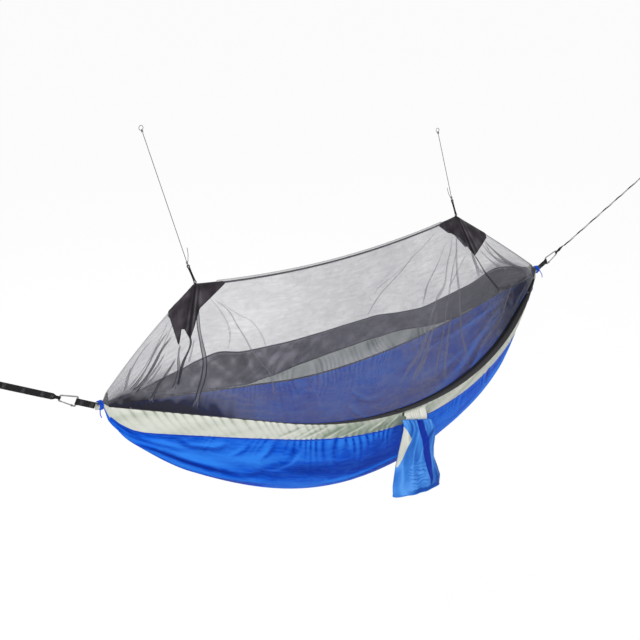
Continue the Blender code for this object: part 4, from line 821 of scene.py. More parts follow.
@dataclass
class Loops:
    """The closed loop of cloth at many places along the hammock, with its folds and outward normals."""

    shape: TentShape
    drape: Drape
    columns: int
    waist_inset: float = 0.023
    grip: float = 0.02
    tail: float = 0.006
    bundle_radius: float = 0.0128
    gather_steps: int = 14
    places: Array = field(init=False)
    points: Array = field(init=False)
    normals: Array = field(init=False)
    # The cloth's painted shade and highlight tones, and the net's layers.
    tones: Array = field(init=False)
    widths: dict[Panel, Array] = field(init=False)

    def __post_init__(self) -> None:
        """Lay the loops out."""
        inner = HALF_LENGTH - self.shape.end_inset
        outer = np.linspace(inner, HALF_LENGTH + self.tail, self.gather_steps + 1)[1:]
        self.places = np.concatenate([-outer[::-1], np.linspace(-inner, inner, self.columns), outer])
        held = np.clip(self.places, -inner, inner)
        plain = self.section(held)
        plain[:, :, 0] = self.places[:, None]
        self.widths = {}
        heights, tones = [], []
        for panel in Panel:
            steps = np.diff(plain[:, panel.columns()], axis=1)
            self.widths[panel] = np.linalg.norm(steps, axis=2).sum(axis=1)
            share = np.arange(panel.rows) / panel.rows
            lift, tone = self.drape.relief(panel, held, share, self.widths[panel])
            heights.append(lift)
            tones.append(tone)
        drawing = self.shape.end_inset - self.waist_inset
        drawn = smooth_step(0.0, 1.0, (np.abs(self.places) - inner) / drawing)
        height = np.concatenate(heights, axis=1) * (1.0 - drawn)[:, None]
        self.points = self.bundled(plain + self.outward(plain) * height[:, :, None], drawn)
        self.normals = self.outward(self.points)
        self.tones = np.concatenate(tones, axis=1)

    def lower(self, x: Array, under: Array) -> Array:
        """Return the near band and the bed, evenly stepped along the curve under the hammock.

        Args:
            x: places along the hammock.
            under: the curve at each place, places by steps by three.

        Returns:
            An array of places by rows by three.
        """
        shape = self.shape
        steps = np.cumsum(np.linalg.norm(np.diff(under, axis=1), axis=2), axis=1)
        run = np.concatenate([np.zeros((len(x), 1)), steps], axis=1)
        band = shape.side_band * shape.ease(x, shape.band_taper, 3.0) * eased_table(x, shape.near_hang)
        band_rows, bed_rows = Panel.NEAR_BAND.rows, Panel.BED.rows
        made = np.empty((len(x), band_rows + bed_rows, 3))
        for i, wide in enumerate(band):
            bed = np.linspace(wide, run[i, -1], bed_rows + 1)[:-1]
            wanted = np.concatenate([np.arange(band_rows) / band_rows * wide, bed])
            for axis in range(3):
                made[i, :, axis] = np.interp(wanted, run[i], under[i, :, axis])
        return made

    def section(self, x: Array) -> Array:
        """Return the loops without their folds.

        Args:
            x: places along the hammock.

        Returns:
            An array of places by columns by three.
        """
        shape = self.shape
        near, far, low, top = shape.edge(x, True), shape.edge(x, False), shape.bottom(x), shape.ridge(x)
        control = 2.0 * low - (near + far) / 2.0
        t = np.linspace(0.0, 1.0, 97)[None, :, None]
        under = (1.0 - t) ** 2 * near[:, None] + 2.0 * t * (1.0 - t) * control[:, None]
        under = under + t ** 2 * far[:, None]
        reach = np.linalg.norm(top - far, axis=1)
        wide = shape.far_band + shape.net_band
        fit = ((1.0 + (wide / (shape.band_reach * reach)) ** 4) ** -0.25)[:, None]
        rise = unit(far - control)
        sage = (shape.far_band * eased_table(x, shape.sage_hang))[:, None] * fit
        both = (wide * eased_table(x, shape.far_hang))[:, None] * fit
        upper = far + rise * sage
        lean = unit(rise * (1.0 - shape.band_lean) + unit(top - upper) * shape.band_lean)
        shoulder = upper + lean * np.maximum(both - sage, 0.25 * both)
        tape = (shape.zip_tape * shape.ease(x, shape.zip_taper, 8.0))[:, None]
        inward = shape.zip_way(x)
        middle, inner = near + inward * tape / 2.0, near + inward * tape
        draw = shape.net_draw * np.abs(shoulder[:, 1] - inner[:, 1])
        seam = np.array([0.0, shape.ridge_seam / 2.0, 0.0])
        parts = [
            self.lower(x, under),
            straight_rows(far, upper, Panel.FAR_BAND.rows),
            straight_rows(upper, shoulder, Panel.NET_BAND.rows),
            straight_rows(shoulder, top + seam, Panel.FAR_NET.rows, -draw),
            straight_rows(top + seam, top - seam, Panel.RIDGE_SEAM.rows),
            straight_rows(top - seam, inner, Panel.NEAR_NET.rows, draw),
            straight_rows(inner, middle, Panel.TAPE_INNER.rows),
            straight_rows(middle, near, Panel.TAPE_OUTER.rows),
        ]
        return np.concatenate(parts, axis=1)

    @staticmethod
    def outward(points: Array) -> Array:
        """Return the outward normals of a grid of loops."""
        around = np.roll(points, -1, axis=1) - np.roll(points, 1, axis=1)
        return unit(np.cross(around, np.gradient(points, axis=0)))

    def bundled(self, lifted: Array, drawn: Array) -> Array:
        """Draw the loops together past the last open place, into the fluted bundle that the cord grips.

        Args:
            lifted: the loops with their folds.
            drawn: how far each place is drawn in, from 0 to 1.

        Returns:
            The loops with their gathered ends.
        """
        first, count = self.gather_steps, len(drawn)
        points = lifted.copy()
        for base, places in ((first, range(first)), (count - 1 - first, range(count - first, count))):
            ring = lifted[base, :, 1:]
            centre = (ring.max(axis=0) + ring.min(axis=0)) / 2.0
            angle = np.arctan2(ring[:, 1] - centre[1], ring[:, 0] - centre[0])
            flute = 1.0 + 0.12 * np.cos(9.0 * angle + 1.3 * np.sin(2.0 * angle))
            flute = flute + 0.05 * np.sin(23.0 * angle)
            for i in places:
                past = max(0.0, (abs(self.places[i]) - (HALF_LENGTH - self.waist_inset + self.grip)) / 0.012)
                radius = self.bundle_radius * flute * (1.0 + 0.22 * past)
                round_one = np.stack([radius * np.cos(angle), radius * np.sin(angle)], axis=-1)
                points[i, :, 1:] = lifted[i, :, 1:] * (1.0 - drawn[i]) + round_one * drawn[i]
        return points

    def between(self, x: Array) -> tuple[Array, Array]:
        """Return where places lie among the loops.

        Args:
            x: places along the hammock.

        Returns:
            The loop before each place, and how far past it the place lies, as a share of one step.
        """
        index = np.interp(x, self.places, np.arange(len(self.places)))
        low = np.minimum(index.astype(int), len(self.places) - 2)
        return low, (index - low)[..., None]

    def on(self, panel: Panel, x: Array, share: Array) -> tuple[Array, Array]:
        """Return points of a panel and its outward normals there.

        Args:
            panel: the panel.
            x: places along the hammock.
            share: shares across the panel, one for each place.

        Returns:
            Points and unit normals.
        """
        low, part = self.between(x)
        column = panel.start + np.clip(share, 0.0, 1.0) * panel.rows
        left = column.astype(int)
        aside = (column - left)[:, None]
        right, left = (left + 1) % self.points.shape[1], left % self.points.shape[1]

        def blend(table: Array) -> Array:
            """Return a table's values between its four nearest points.

            Args:
                table: a vector for each loop and column.

            Returns:
                A vector for each place.
            """
            before = table[low, left] * (1.0 - aside) + table[low, right] * aside
            after = table[low + 1, left] * (1.0 - aside) + table[low + 1, right] * aside
            return before * (1.0 - part) + after * part

        return blend(self.points), unit(blend(self.normals))

    def open_range(self) -> slice:
        """Return the places between the two gathers."""
        return slice(self.gather_steps, len(self.places) - self.gather_steps)

    def strip(self, panel: Panel) -> tuple[Array, Array, Array]:
        """Return a panel between the two gathers.

        Args:
            panel: the panel.

        Returns:
            Points, flat coordinates in metres, and painted shading tones or layers of net, each places by
            rows.
        """
        picks, part = panel.columns(), self.open_range()
        across = np.arange(panel.rows + 1) / panel.rows * float(self.widths[panel].max())
        flat = np.stack(np.broadcast_arrays(self.places[part][:, None], across[None, :]), axis=-1)
        return self.points[part][:, picks], flat, self.tones[part][:, picks]


def add_object(name: str, data: bpy.types.ID) -> Piece:
    """Put a new object in the scene.

    Args:
        name: its name.
        data: the mesh, light or camera that it holds.

    Returns:
        The object.
    """
    made = bpy.data.objects.new(name, data)
    bpy.context.scene.collection.objects.link(made)
    return made


def mesh_of(name: str, bm: bmesh.types.BMesh) -> bpy.types.Mesh:
    """Make a mesh from a bmesh, which is freed.

    Args:
        name: the mesh's name.
        bm: the bmesh.

    Returns:
        The mesh.
    """
    mesh = bpy.data.meshes.new(name)
    bm.to_mesh(mesh)
    bm.free()
    return mesh


def weld(mesh: bpy.types.Mesh, capped: bool) -> None:
    """Merge a rolled grid's seam and face it outwards.

    Args:
        mesh: the mesh, which is changed.
        capped: whether its open ends are closed, so that it becomes a solid.
    """
    bm = bmesh.new()
    bm.from_mesh(mesh)
    bmesh.ops.remove_doubles(bm, verts=bm.verts, dist=1e-6)
    if capped:
        bmesh.ops.holes_fill(bm, edges=[e for e in bm.edges if e.is_boundary], sides=0)
    bmesh.ops.recalc_face_normals(bm, faces=bm.faces)
    if capped and bm.calc_volume(signed=True) < 0.0:
        bmesh.ops.reverse_faces(bm, faces=bm.faces)
    bm.to_mesh(mesh)
    bm.free()


def grid_object(name: str, points: Array, flat: Optional[Array] = None, layers: Optional[Array] = None,
                flip: bool = False, closed: bool = False, kinds: Optional[Array] = None,
                tone: Optional[Array] = None) -> Piece:
    """Make an object from a grid of points, laid out from a bmesh grid.

    Args:
        name: the piece's name.
        points: rows by columns by three, in metres.
        flat: each point's flat coordinates for the UV map, or None for steps along and across.
        layers: how many layers of net lie at each point, or None.
        flip: whether to turn the faces over.
        closed: whether the columns go round, with the two end rows then capped.
        kinds: each column's material index, or None.
        tone: the painted shade and highlight of the cloth's folds at each point, or None.

    Returns:
        The object, at the scene's origin.
    """
    along = travelled(points.mean(axis=1))[:, None]
    if closed:
        points = np.concatenate([points, points[:, :1]], axis=1)
    if flat is None:
        steps = np.cumsum(np.linalg.norm(np.diff(points, axis=1), axis=2), axis=1)
        across = np.concatenate([np.zeros((len(points), 1)), steps], axis=1)
        flat = np.stack(np.broadcast_arrays(along, across), axis=-1)
    rows, columns = points.shape[:2]
    bm = bmesh.new()
    bmesh.ops.create_grid(bm, x_segments=rows - 1, y_segments=columns - 1, size=1.0)
    mesh = mesh_of(name, bm)
    spots = np.empty(len(mesh.vertices) * 3)
    mesh.vertices.foreach_get("co", spots)
    spots = (spots.reshape(-1, 3)[:, :2] + 1.0) / 2.0 * np.array([rows - 1, columns - 1])
    spots = np.rint(spots).astype(int)
    mesh.vertices.foreach_set("co", points[spots[:, 0], spots[:, 1]].ravel())
    corners = np.empty(len(mesh.loops), dtype=int)
    mesh.loops.foreach_get("vertex_index", corners)
    layer = mesh.uv_layers.new(name="UVMap")
    layer.data.foreach_set("uv", flat[spots[corners, 0], spots[corners, 1]].ravel())
    # The folds attribute holds the painted shade and highlight of the cloth's folds.
    for title, values in (("layers", layers), ("folds", tone)):
        if values is not None:
            store = mesh.attributes.new(title, "FLOAT", "POINT")
            store.data.foreach_set("value", values[spots[:, 0], spots[:, 1]].ravel())
    if kinds is not None:
        firsts = np.empty(len(mesh.polygons), dtype=int)
        mesh.polygons.foreach_get("loop_start", firsts)
        least = np.minimum(spots[corners[firsts], 1], spots[corners[firsts + 2], 1])
        mesh.polygons.foreach_set("material_index", kinds[least].astype(int))
    if flip:
        mesh.flip_normals()
    if closed:
        weld(mesh, capped=True)
    mesh.shade_smooth()
    return add_object(name, mesh)


def frame_along(path: Array) -> tuple[Array, Array]:
    """Return two unit directions across a path that turn with it as little as can be.

    Args:
        path: its points, one to a row.

    Returns:
        The two directions at each point, the first one starting as near to BACK as can be.
    """
    tangent = unit(np.gradient(path, axis=0))
    first = np.empty_like(path)
    held = BACK
    for i, way in enumerate(tangent):
        held = held - way * held.dot(way)
        held = held / np.linalg.norm(held)
        first[i] = held
    return first, np.cross(tangent, first)


def rope(name: str, path: Array, radius: float, sides: int, twist: float = 0.0) -> Piece:
    """Make a round cord, hem or loop along a path.

    Args:
        name: the piece's name.
        path: the points that it follows.
        radius: its radius.
        sides: how many sides the tube has.
        twist: turns of lay for each metre, or 0 for a plain round cord without strands.

    Returns:
        The object.
    """
    first, second = frame_along(path)
    angles = np.linspace(0.0, 2.0 * math.pi, sides, endpoint=False)[None, :]
    strands = STRAND_DEPTH if twist else 0.0
    lay = 2.0 * math.pi * twist * travelled(path)[:, None]
    size = radius * (1.0 + strands * np.cos(3.0 * (angles + lay)))
    across = np.cos(angles)[:, :, None] * first[:, None] + np.sin(angles)[:, :, None] * second[:, None]
    return grid_object(name, path[:, None] + size[:, :, None] * across, closed=True)


class Nodes:
    """A short hand for wiring one node tree."""

    def __init__(self, tree: bpy.types.NodeTree) -> None:
        """Hold the tree."""
        self.tree = tree

    def feed(self, node: bpy.types.Node, inputs: dict) -> None:
        """Set or link a node's inputs.

        Args:
            node: the node.
            inputs: values or sockets by the input's name or number.
        """
        for key, value in inputs.items():
            if isinstance(value, bpy.types.NodeSocket):
                self.tree.links.new(value, node.inputs[key])
            else:
                node.inputs[key].default_value = value

    def add(self, kind: str, inputs: Optional[dict] = None, **settings: object) -> bpy.types.Node:
        """Add a node, set its properties, and set or link its inputs.

        Args:
            kind: the node's type.
            inputs: values or sockets by the input's name or number.
            settings: properties of the node.

        Returns:
            The node.
        """
        node = self.tree.nodes.new(kind)
        for key, value in settings.items():
            setattr(node, key, value)
        self.feed(node, inputs or {})
        return node

    def math(self, operation: str, first: object, second: object = 0.0, clamp: bool = False) -> Socket:
        """Return the result socket of a Math node."""
        node = self.add("ShaderNodeMath", {0: first, 1: second}, operation=operation, use_clamp=clamp)
        return node.outputs[0]

    def scaled(self, value: object, factor: object, offset: object, clamp: bool = False) -> Socket:
        """Return a value times a factor, plus an offset."""
        return self.math("ADD", self.math("MULTIPLY", value, factor), offset, clamp)

    def mix(self, share: object, first: object, second: object) -> Socket:
        """Return a colour between two, by a share."""
        return self.add("ShaderNodeMix", {0: share, 6: first, 7: second}, data_type="RGBA").outputs[2]

    def noise(self, vector: Socket, scale: float, detail: float = 3.0) -> Socket:
        """Return a noise texture's value."""
        node = self.add("ShaderNodeTexNoise", {"Vector": vector, "Scale": scale, "Detail": detail})
        return node.outputs["Fac"]

    def wave(self, turns: Socket, kind: str = "SINE") -> Socket:
        """Return the sine or cosine of a number of full turns."""
        return self.math(kind, self.math("MULTIPLY", turns, 2.0 * math.pi))

    def stretched(self, vector: Socket, scale: Sequence[float]) -> Socket:
        """Return coordinates times a scale along each axis."""
        return self.add("ShaderNodeMapping", {"Vector": vector, "Scale": scale}).outputs[0]

    def streaks(self, vector: Socket, detail: float, thin: float, power: float) -> Socket:
        """Return thin bright lines where a noise texture passes through its middle.

        Args:
            vector: the coordinates.
            detail: the noise's detail.
            thin: how narrow the lines are.
            power: how sharp they are.

        Returns:
            The lines' strength, from 0 to 1.
        """
        swing = self.math("ABSOLUTE", self.math("SUBTRACT", self.noise(vector, 1.0, detail), 0.5))
        near = self.math("SUBTRACT", 1.0, self.math("MULTIPLY", swing, thin), clamp=True)
        return self.math("POWER", near, power)

    def grade(self, shader: bpy.types.Node, share: Socket, first: Colour, second: Colour) -> None:
        """Colour a shader between two colours, by a share."""
        self.feed(shader, {"Base Color": self.mix(share, (*first, 1.0), (*second, 1.0))})


@dataclass(frozen=True)
class Pattern:
    """A node group over a flat map, made once: its name, its numbers, its results and what wires it."""

    name: str
    numbers: dict[str, float]
    results: tuple[str, ...]
    wire: Callable[[Nodes, bpy.types.Node, bpy.types.Node], None]

    def tree(self) -> bpy.types.NodeTree:
        """Make the group's tree, the first time that it is asked for.

        Returns:
            The tree.
        """
        found = bpy.data.node_groups.get(self.name)
        if found:
            return found
        tree = bpy.data.node_groups.new(self.name, "ShaderNodeTree")
        add = tree.interface.new_socket
        add("Vector", in_out="INPUT", socket_type="NodeSocketVector")
        for key, value in self.numbers.items():
            add(key, in_out="INPUT", socket_type="NodeSocketFloat").default_value = value
        for key in self.results:
            add(key, in_out="OUTPUT", socket_type="NodeSocketFloat")
        nodes = Nodes(tree)
        self.wire(nodes, nodes.add("NodeGroupInput"), nodes.add("NodeGroupOutput"))
        return tree


def wire_threads(nodes: Nodes, source: bpy.types.Node, sink: bpy.types.Node) -> None:
    """Lay crossed threads, with thicker ones at a wider step.

    Args:
        nodes: the group's tree.
        source: the node that gives the group's inputs.
        sink: the node that takes its results.
    """
    parts = nodes.add("ShaderNodeSeparateXYZ", {0: source.outputs["Vector"]})
    thin, thick = [], []
    for axis in ("X", "Y"):
        thin.append(nodes.wave(nodes.math("MULTIPLY", parts.outputs[axis], source.outputs["Threads"])))
        stepped = nodes.math("FRACT", nodes.math("MULTIPLY", parts.outputs[axis], source.outputs["Thick"]))
        middle = nodes.math("ABSOLUTE", nodes.math("SUBTRACT", stepped, 0.5))
        thick.append(nodes.math("LESS_THAN", middle, THICK_THREAD_SHARE))
    cloth = nodes.math("MULTIPLY", thin[0], thin[1])
    grid = nodes.math("MULTIPLY", nodes.math("MAXIMUM", thick[0], thick[1]), source.outputs["Thick depth"])
    nodes.feed(sink, {"Height": nodes.scaled(cloth, 0.35, grid), "Tint": nodes.scaled(cloth, 0.5, grid)})


def wire_holes(nodes: Nodes, source: bpy.types.Node, sink: bpy.types.Node) -> None:
    """Show the tiny six-sided holes of insect net, as thread cover round its mean.

    Args:
        nodes: the group's tree.
        source: the node that gives the group's inputs.
        sink: the node that takes its result.
    """
    parts = nodes.add("ShaderNodeSeparateXYZ", {0: source.outputs["Vector"]})
    waves = []
    for turn in (0.0, 60.0, 120.0):
        angle = math.radians(turn)
        along = nodes.scaled(parts.outputs["X"], math.cos(angle),
                             nodes.math("MULTIPLY", parts.outputs["Y"], math.sin(angle)))
        waves.append(nodes.wave(nodes.math("MULTIPLY", along, source.outputs["Holes"]), "COSINE"))
    total = nodes.math("ADD", nodes.math("ADD", waves[0], waves[1]), waves[2])
    nodes.feed(sink, {"Cover": nodes.scaled(total, -0.3, 1.0)})


def wire_ribs(nodes: Nodes, source: bpy.types.Node, sink: bpy.types.Node) -> None:
    """Lay the slanted ribs that webbing and braid show, leaning both ways about their middle.

    Args:
        nodes: the group's tree.
        source: the node that gives the group's inputs.
        sink: the node that takes its result.
    """
    parts = nodes.add("ShaderNodeSeparateXYZ", {0: source.outputs["Vector"]})
    ply = nodes.math("MULTIPLY", parts.outputs["Y"], source.outputs["Plies"])
    lean = nodes.math("MULTIPLY", nodes.math("PINGPONG", ply, 1.0), source.outputs["Slant"])
    wave = nodes.wave(nodes.scaled(parts.outputs["X"], source.outputs["Ribs"], lean))
    groove = nodes.math("ABSOLUTE", nodes.math("SINE", nodes.math("MULTIPLY", ply, math.pi)))
    nodes.feed(sink, {"Height": nodes.scaled(wave, 0.5, groove)})


THREADS = Pattern("crossed threads", {"Threads": 900.0, "Thick": 200.0, "Thick depth": 0.5},
                  ("Height", "Tint"), wire_threads)
HOLES = Pattern("insect mesh", {"Holes": 450.0}, ("Cover",), wire_holes)
RIBS = Pattern("slanted ribs", {"Ribs": 600.0, "Plies": 300.0, "Slant": 1.0}, ("Height",), wire_ribs)


@dataclass(frozen=True)
class Surface:
    """A material while it is wired: its tree, its shader, and flat and solid coordinates in metres."""

    nodes: Nodes
    shader: bpy.types.Node
    flat: Socket
    solid: Socket

    def rough(self, share: Socket, depth: float, least: float) -> None:
        """Make the roughness follow a share, from a least value up.

        Args:
            share: the share, from 0 to 1.
            depth: how much the roughness grows with it.
            least: the roughness where it is 0.
        """
        self.nodes.feed(self.shader, {"Roughness": self.nodes.scaled(share, depth, least, clamp=True)})

    def bump(self, height: Socket, depth: float) -> None:
        """Feed a height, times a depth in metres, to the shader's normal."""
        node = self.nodes.add("ShaderNodeBump", {"Height": height, "Distance": depth, "Strength": 0.6})
        self.nodes.feed(self.shader, {"Normal": node.outputs[0]})


@dataclass(frozen=True)
class Finish:
    """One finish of the tent, with its colours and the make of its surface."""

    slot: str
    weave: Weave
    colour: Colour
    dark: Colour
    roughness: float = 0.5
    sheen: float = 0.0
    alpha: float = 1.0
    on_cad: bool = False
    name: str = ""
    specular: float = 0.25
    tint: Colour = (1.0, 1.0, 1.0)
    crease: float = 0.0
    # Painted shading along thin crease lines: a painted highlight on blue, dark and grey cloth, and painted
    # shade on sage.
    painted_crease_shading: Colour = (0.5, 0.5, 0.5)
    crease_run: tuple[float, float] = (16.0, 16.0)
    # Painted shade colour for fold valleys and painted highlight colour for fold crests, mixed in by the
    # folds attribute.
    painted_valley_shade: Colour = (0.0, 0.0, 0.0)
    painted_crest_highlight: Colour = (0.0, 0.0, 0.0)
    metallic: float = 0.0

    def material(self) -> bpy.types.Material:
        """Make the finish's material, the first time that it is asked for.

        Returns:
            The material.
        """
        title = (self.name or self.slot) + "_finish" + ("_solid" if self.on_cad else "")
        found = bpy.data.materials.get(title)
        if found:
            return found
        made = bpy.data.materials.new(title)
        made.use_nodes = True
        made.node_tree.nodes.clear()
        nodes = Nodes(made.node_tree)
        shader = nodes.add("ShaderNodeBsdfPrincipled")
        nodes.add("ShaderNodeOutputMaterial", {"Surface": shader.outputs[0]})
        place = nodes.add("ShaderNodeTexCoord")
        flat = place.outputs["Object" if self.on_cad else "UV"]
        wiring = {Weave.RIPSTOP: self.cloth, Weave.NET: self.net, Weave.WEBBING: self.ribbed,
                  Weave.BRAID: self.ribbed, Weave.METAL: self.metal, Weave.MOULDED: self.moulded}
        wiring[self.weave](Surface(nodes, shader, flat, place.outputs["Object"]))
        return made

    def gloss(self, on: Surface, sheen_roughness: float) -> None:
        """Set how the surface shines and what colour the shine takes.

        Args:
            on: the material.
            sheen_roughness: how wide the sheen at grazing angles spreads.
        """
        tint = (*self.tint, 1.0)
        on.nodes.feed(on.shader, {
            "Sheen Weight": self.sheen, "Sheen Roughness": sheen_roughness, "Sheen Tint": tint,
            "Specular IOR Level": self.specular, "Specular Tint": tint})

    def cloth(self, on: Surface) -> None:
        """Wire thin ripstop cloth: its threads, its faint mottling, its creases with their painted shading,
        the painted shade of its fold valleys and the painted highlights of its crests, and its fine crumple.

        Args:
            on: the material.
        """
        nodes = on.nodes
        threads = nodes.add("ShaderNodeGroup", {"Threads": 1100.0, "Thick": 190.0, "Thick depth": 0.55,
                                                "Vector": on.flat}, node_tree=THREADS.tree())
        mottle = nodes.math("SUBTRACT", nodes.noise(on.solid, 9.0, 4.0), 0.42)
        shade = nodes.scaled(mottle, 1.5, nodes.math("MULTIPLY", threads.outputs["Tint"], 0.10), clamp=True)
        base = nodes.mix(shade, (*self.colour, 1.0), (*self.dark, 1.0))
        # Painted shading on thin crease lines, mixed towards the crease colour. The same lines also raise
        # the bump.
        ridge = nodes.streaks(nodes.stretched(on.flat, (*self.crease_run, 1.0)), 4.0, 11.0, 1.6)
        base = nodes.mix(nodes.math("MULTIPLY", ridge, self.crease), base, (*self.painted_crease_shading, 1.0))
        # Painted shade and highlight: the folds attribute darkens the colour towards the valley shade and
        # lightens it towards the crest highlight.
        if sum(self.painted_valley_shade) > 0.0:
            folds = nodes.add("ShaderNodeAttribute", attribute_name="folds").outputs["Fac"]
            base = nodes.mix(nodes.math("MULTIPLY", folds, -0.85, clamp=True), base, (*self.painted_valley_shade, 1.0))
            base = nodes.mix(nodes.math("MULTIPLY", folds, 0.80, clamp=True), base, (*self.painted_crest_highlight, 1.0))
        nodes.feed(on.shader, {"Base Color": base, "Metallic": self.metallic})
        crumple = nodes.noise(on.solid, 55.0, 5.0)
        on.rough(crumple, 0.22, self.roughness - 0.11)
        height = nodes.scaled(crumple, 3.2, threads.outputs["Height"])
        height = nodes.math("ADD", height, nodes.math("MULTIPLY", ridge, 2.5 * self.crease))
        on.bump(height, 0.0006)
        self.gloss(on, 0.35)

    def net(self, on: Surface) -> None:
        """Wire see-through insect net, denser where its layers attribute says that it is folded, and painted
        darker there as shade.

        Args:
            on: the material.
        """
        nodes = on.nodes
        cover = nodes.add("ShaderNodeGroup", {"Vector": on.flat}, node_tree=HOLES.tree()).outputs["Cover"]
        layers = nodes.add("ShaderNodeAttribute", attribute_name="layers").outputs["Fac"]
        mottle, drift = nodes.noise(on.flat, 34.0), nodes.noise(on.flat, 5.0, 4.0)
        streak = nodes.streaks(nodes.stretched(on.flat, (7.0, 26.0, 1.0)), 5.0, 9.0, 1.5)
        wisps = nodes.scaled(mottle, 0.7, nodes.math("MULTIPLY", drift, 1.3))
        wisps = nodes.math("ADD", wisps, nodes.math("MULTIPLY", streak, 0.35))
        thick = nodes.math("MULTIPLY", nodes.math("MULTIPLY", layers, wisps), cover)
        seen = nodes.math("SUBTRACT", 1.0, nodes.math("POWER", 1.0 - self.alpha, thick), clamp=True)
        # Painted shade: the colour darkens towards the dark colour as the layers pass one, in folds, bunches
        # and gathers. The layers also thicken the alpha.
        folded = nodes.math("MULTIPLY", nodes.math("SUBTRACT", layers, 1.0), 0.2, clamp=True)
        nodes.grade(on.shader, folded, self.colour, self.dark)
        nodes.feed(on.shader, {"Alpha": seen, "Specular IOR Level": 0.08})
        on.rough(mottle, 0.2, self.roughness - 0.1)
        on.bump(cover, 0.0004)

    def ribbed(self, on: Surface) -> None:
        """Wire webbing, or with finer plies a braided cord.

        Args:
            on: the material.
        """
        nodes = on.nodes
        ribs, plies, slant = (520.0, 950.0, 0.9) if self.weave is Weave.BRAID else (430.0, 330.0, 0.55)
        rib = nodes.add("ShaderNodeGroup", {"Ribs": ribs, "Plies": plies, "Slant": slant, "Vector": on.flat},
                        node_tree=RIBS.tree()).outputs["Height"]
        fuzz = nodes.noise(on.solid, 240.0)
        lift = nodes.scaled(rib, 0.55, nodes.math("MULTIPLY", fuzz, 0.6), clamp=True)
        nodes.grade(on.shader, lift, self.dark, self.colour)
        on.rough(fuzz, 0.25, self.roughness - 0.12)
        on.bump(nodes.math("ADD", rib, nodes.math("MULTIPLY", fuzz, 0.4)), 0.0005)
        self.gloss(on, 0.5)

    def metal(self, on: Surface) -> None:
        """Wire anodised metal with worn, lighter rubs and fine draw lines.

        Args:
            on: the material.
        """
        nodes = on.nodes
        lines = nodes.noise(nodes.stretched(on.solid, (40.0, 400.0, 400.0)), 1.0)
        rub = nodes.math("SUBTRACT", nodes.noise(on.solid, 90.0, 4.0), 0.52)
        nodes.grade(on.shader, nodes.math("MULTIPLY", rub, 3.0, clamp=True), self.colour, self.dark)
        on.rough(lines, 0.2, self.roughness - 0.08)
        on.bump(lines, 0.00008)
        nodes.feed(on.shader, {"Metallic": 0.85})

    def moulded(self, on: Surface) -> None:
        """Wire moulded plastic with a fine grain.

        Args:
            on: the material.
        """
        patch = on.nodes.noise(on.solid, 60.0)
        on.nodes.grade(on.shader, patch, self.colour, self.dark)
        on.rough(patch, 0.25, self.roughness - 0.12)
        on.bump(on.nodes.noise(on.solid, 900.0, 2.0), 0.0001)


# The cloth finishes' crease, valley and crest colours are painted light: highlights on crests and on most
# creases, and shade in valleys and along the sage's creases.
BLUE = Finish("blue_nylon", Weave.RIPSTOP, (0.004, 0.082, 0.60), (0.002, 0.052, 0.46), 0.46, specular=0.02,
              tint=(0.10, 0.38, 1.0), crease=0.30, painted_crease_shading=(0.05, 0.27, 0.88), crease_run=(8.0, 26.0),
              painted_valley_shade=(0.001, 0.018, 0.25), painted_crest_highlight=(0.035, 0.25, 0.88), metallic=0.25)
SAGE = Finish("sage_nylon", Weave.RIPSTOP, (0.57, 0.59, 0.52), (0.47, 0.50, 0.43), 0.50, 0.02,
              specular=0.12, crease=0.14, painted_crease_shading=(0.30, 0.37, 0.28), crease_run=(13.0, 22.0),
              painted_valley_shade=(0.15, 0.21, 0.145), painted_crest_highlight=(0.76, 0.76, 0.71))
# A darker copy of the sage nylon for the far band: painted shade, as that band hangs inside the hammock.
SHADE_PAINTED_FAR_SAGE = Finish("sage_nylon", Weave.RIPSTOP, (0.50, 0.53, 0.47), (0.38, 0.43, 0.37), 0.50, 0.04,
                  specular=0.12, name="far_sage_painted_shade", crease=0.12, painted_crease_shading=(0.24, 0.30, 0.24),
                  crease_run=(22.0, 9.0), painted_valley_shade=(0.12, 0.155, 0.13), painted_crest_highlight=(0.74, 0.75, 0.70))
DARK = Finish("dark_nylon", Weave.RIPSTOP, (0.034, 0.028, 0.035), (0.018, 0.015, 0.019), 0.50,
              specular=0.08, crease=0.2, painted_crease_shading=(0.09, 0.085, 0.095), crease_run=(26.0, 9.0),
              painted_valley_shade=(0.006, 0.005, 0.007), painted_crest_highlight=(0.12, 0.11, 0.125))
# A lighter grey copy of the dark nylon for the band under the far net: painted sheen of the glossy black
# cloth, with strong painted highlights on its crests.
SHEEN_PAINTED_DARK_BAND = Finish("dark_nylon", Weave.RIPSTOP, (0.135, 0.13, 0.14), (0.095, 0.092, 0.10), 0.48, 0.03,
                   specular=0.15, name="dark_band_painted_sheen", crease=0.16, painted_crease_shading=(0.30, 0.29, 0.31),
                   crease_run=(15.0, 15.0), painted_valley_shade=(0.040, 0.038, 0.042), painted_crest_highlight=(0.50, 0.48, 0.51))
# The net's dark colour is painted shade, reached where many layers of net lie together.
NET = Finish("net", Weave.NET, (0.225, 0.224, 0.262), (0.030, 0.029, 0.040), 0.65, alpha=0.27)
TAPE = Finish("black_tape", Weave.WEBBING, (0.070, 0.067, 0.073), (0.034, 0.033, 0.036), 0.6, specular=0.1)
INNER_TAPE = Finish("black_tape", Weave.WEBBING, (0.018, 0.017, 0.019), (0.008, 0.008, 0.009), 0.6,
                    specular=0.06, name="inner_tape")
COIL = Finish("black_tape", Weave.MOULDED, (0.008, 0.008, 0.009), (0.014, 0.014, 0.015), 0.4,
              name="zip_coil")
TRIM = Finish("black_tape", Weave.MOULDED, (0.012, 0.012, 0.013), (0.02, 0.02, 0.021), 0.45, on_cad=True)
METAL_CAD = Finish("grey_metal", Weave.METAL, (0.20, 0.20, 0.215), (0.42, 0.42, 0.43), 0.34, on_cad=True)
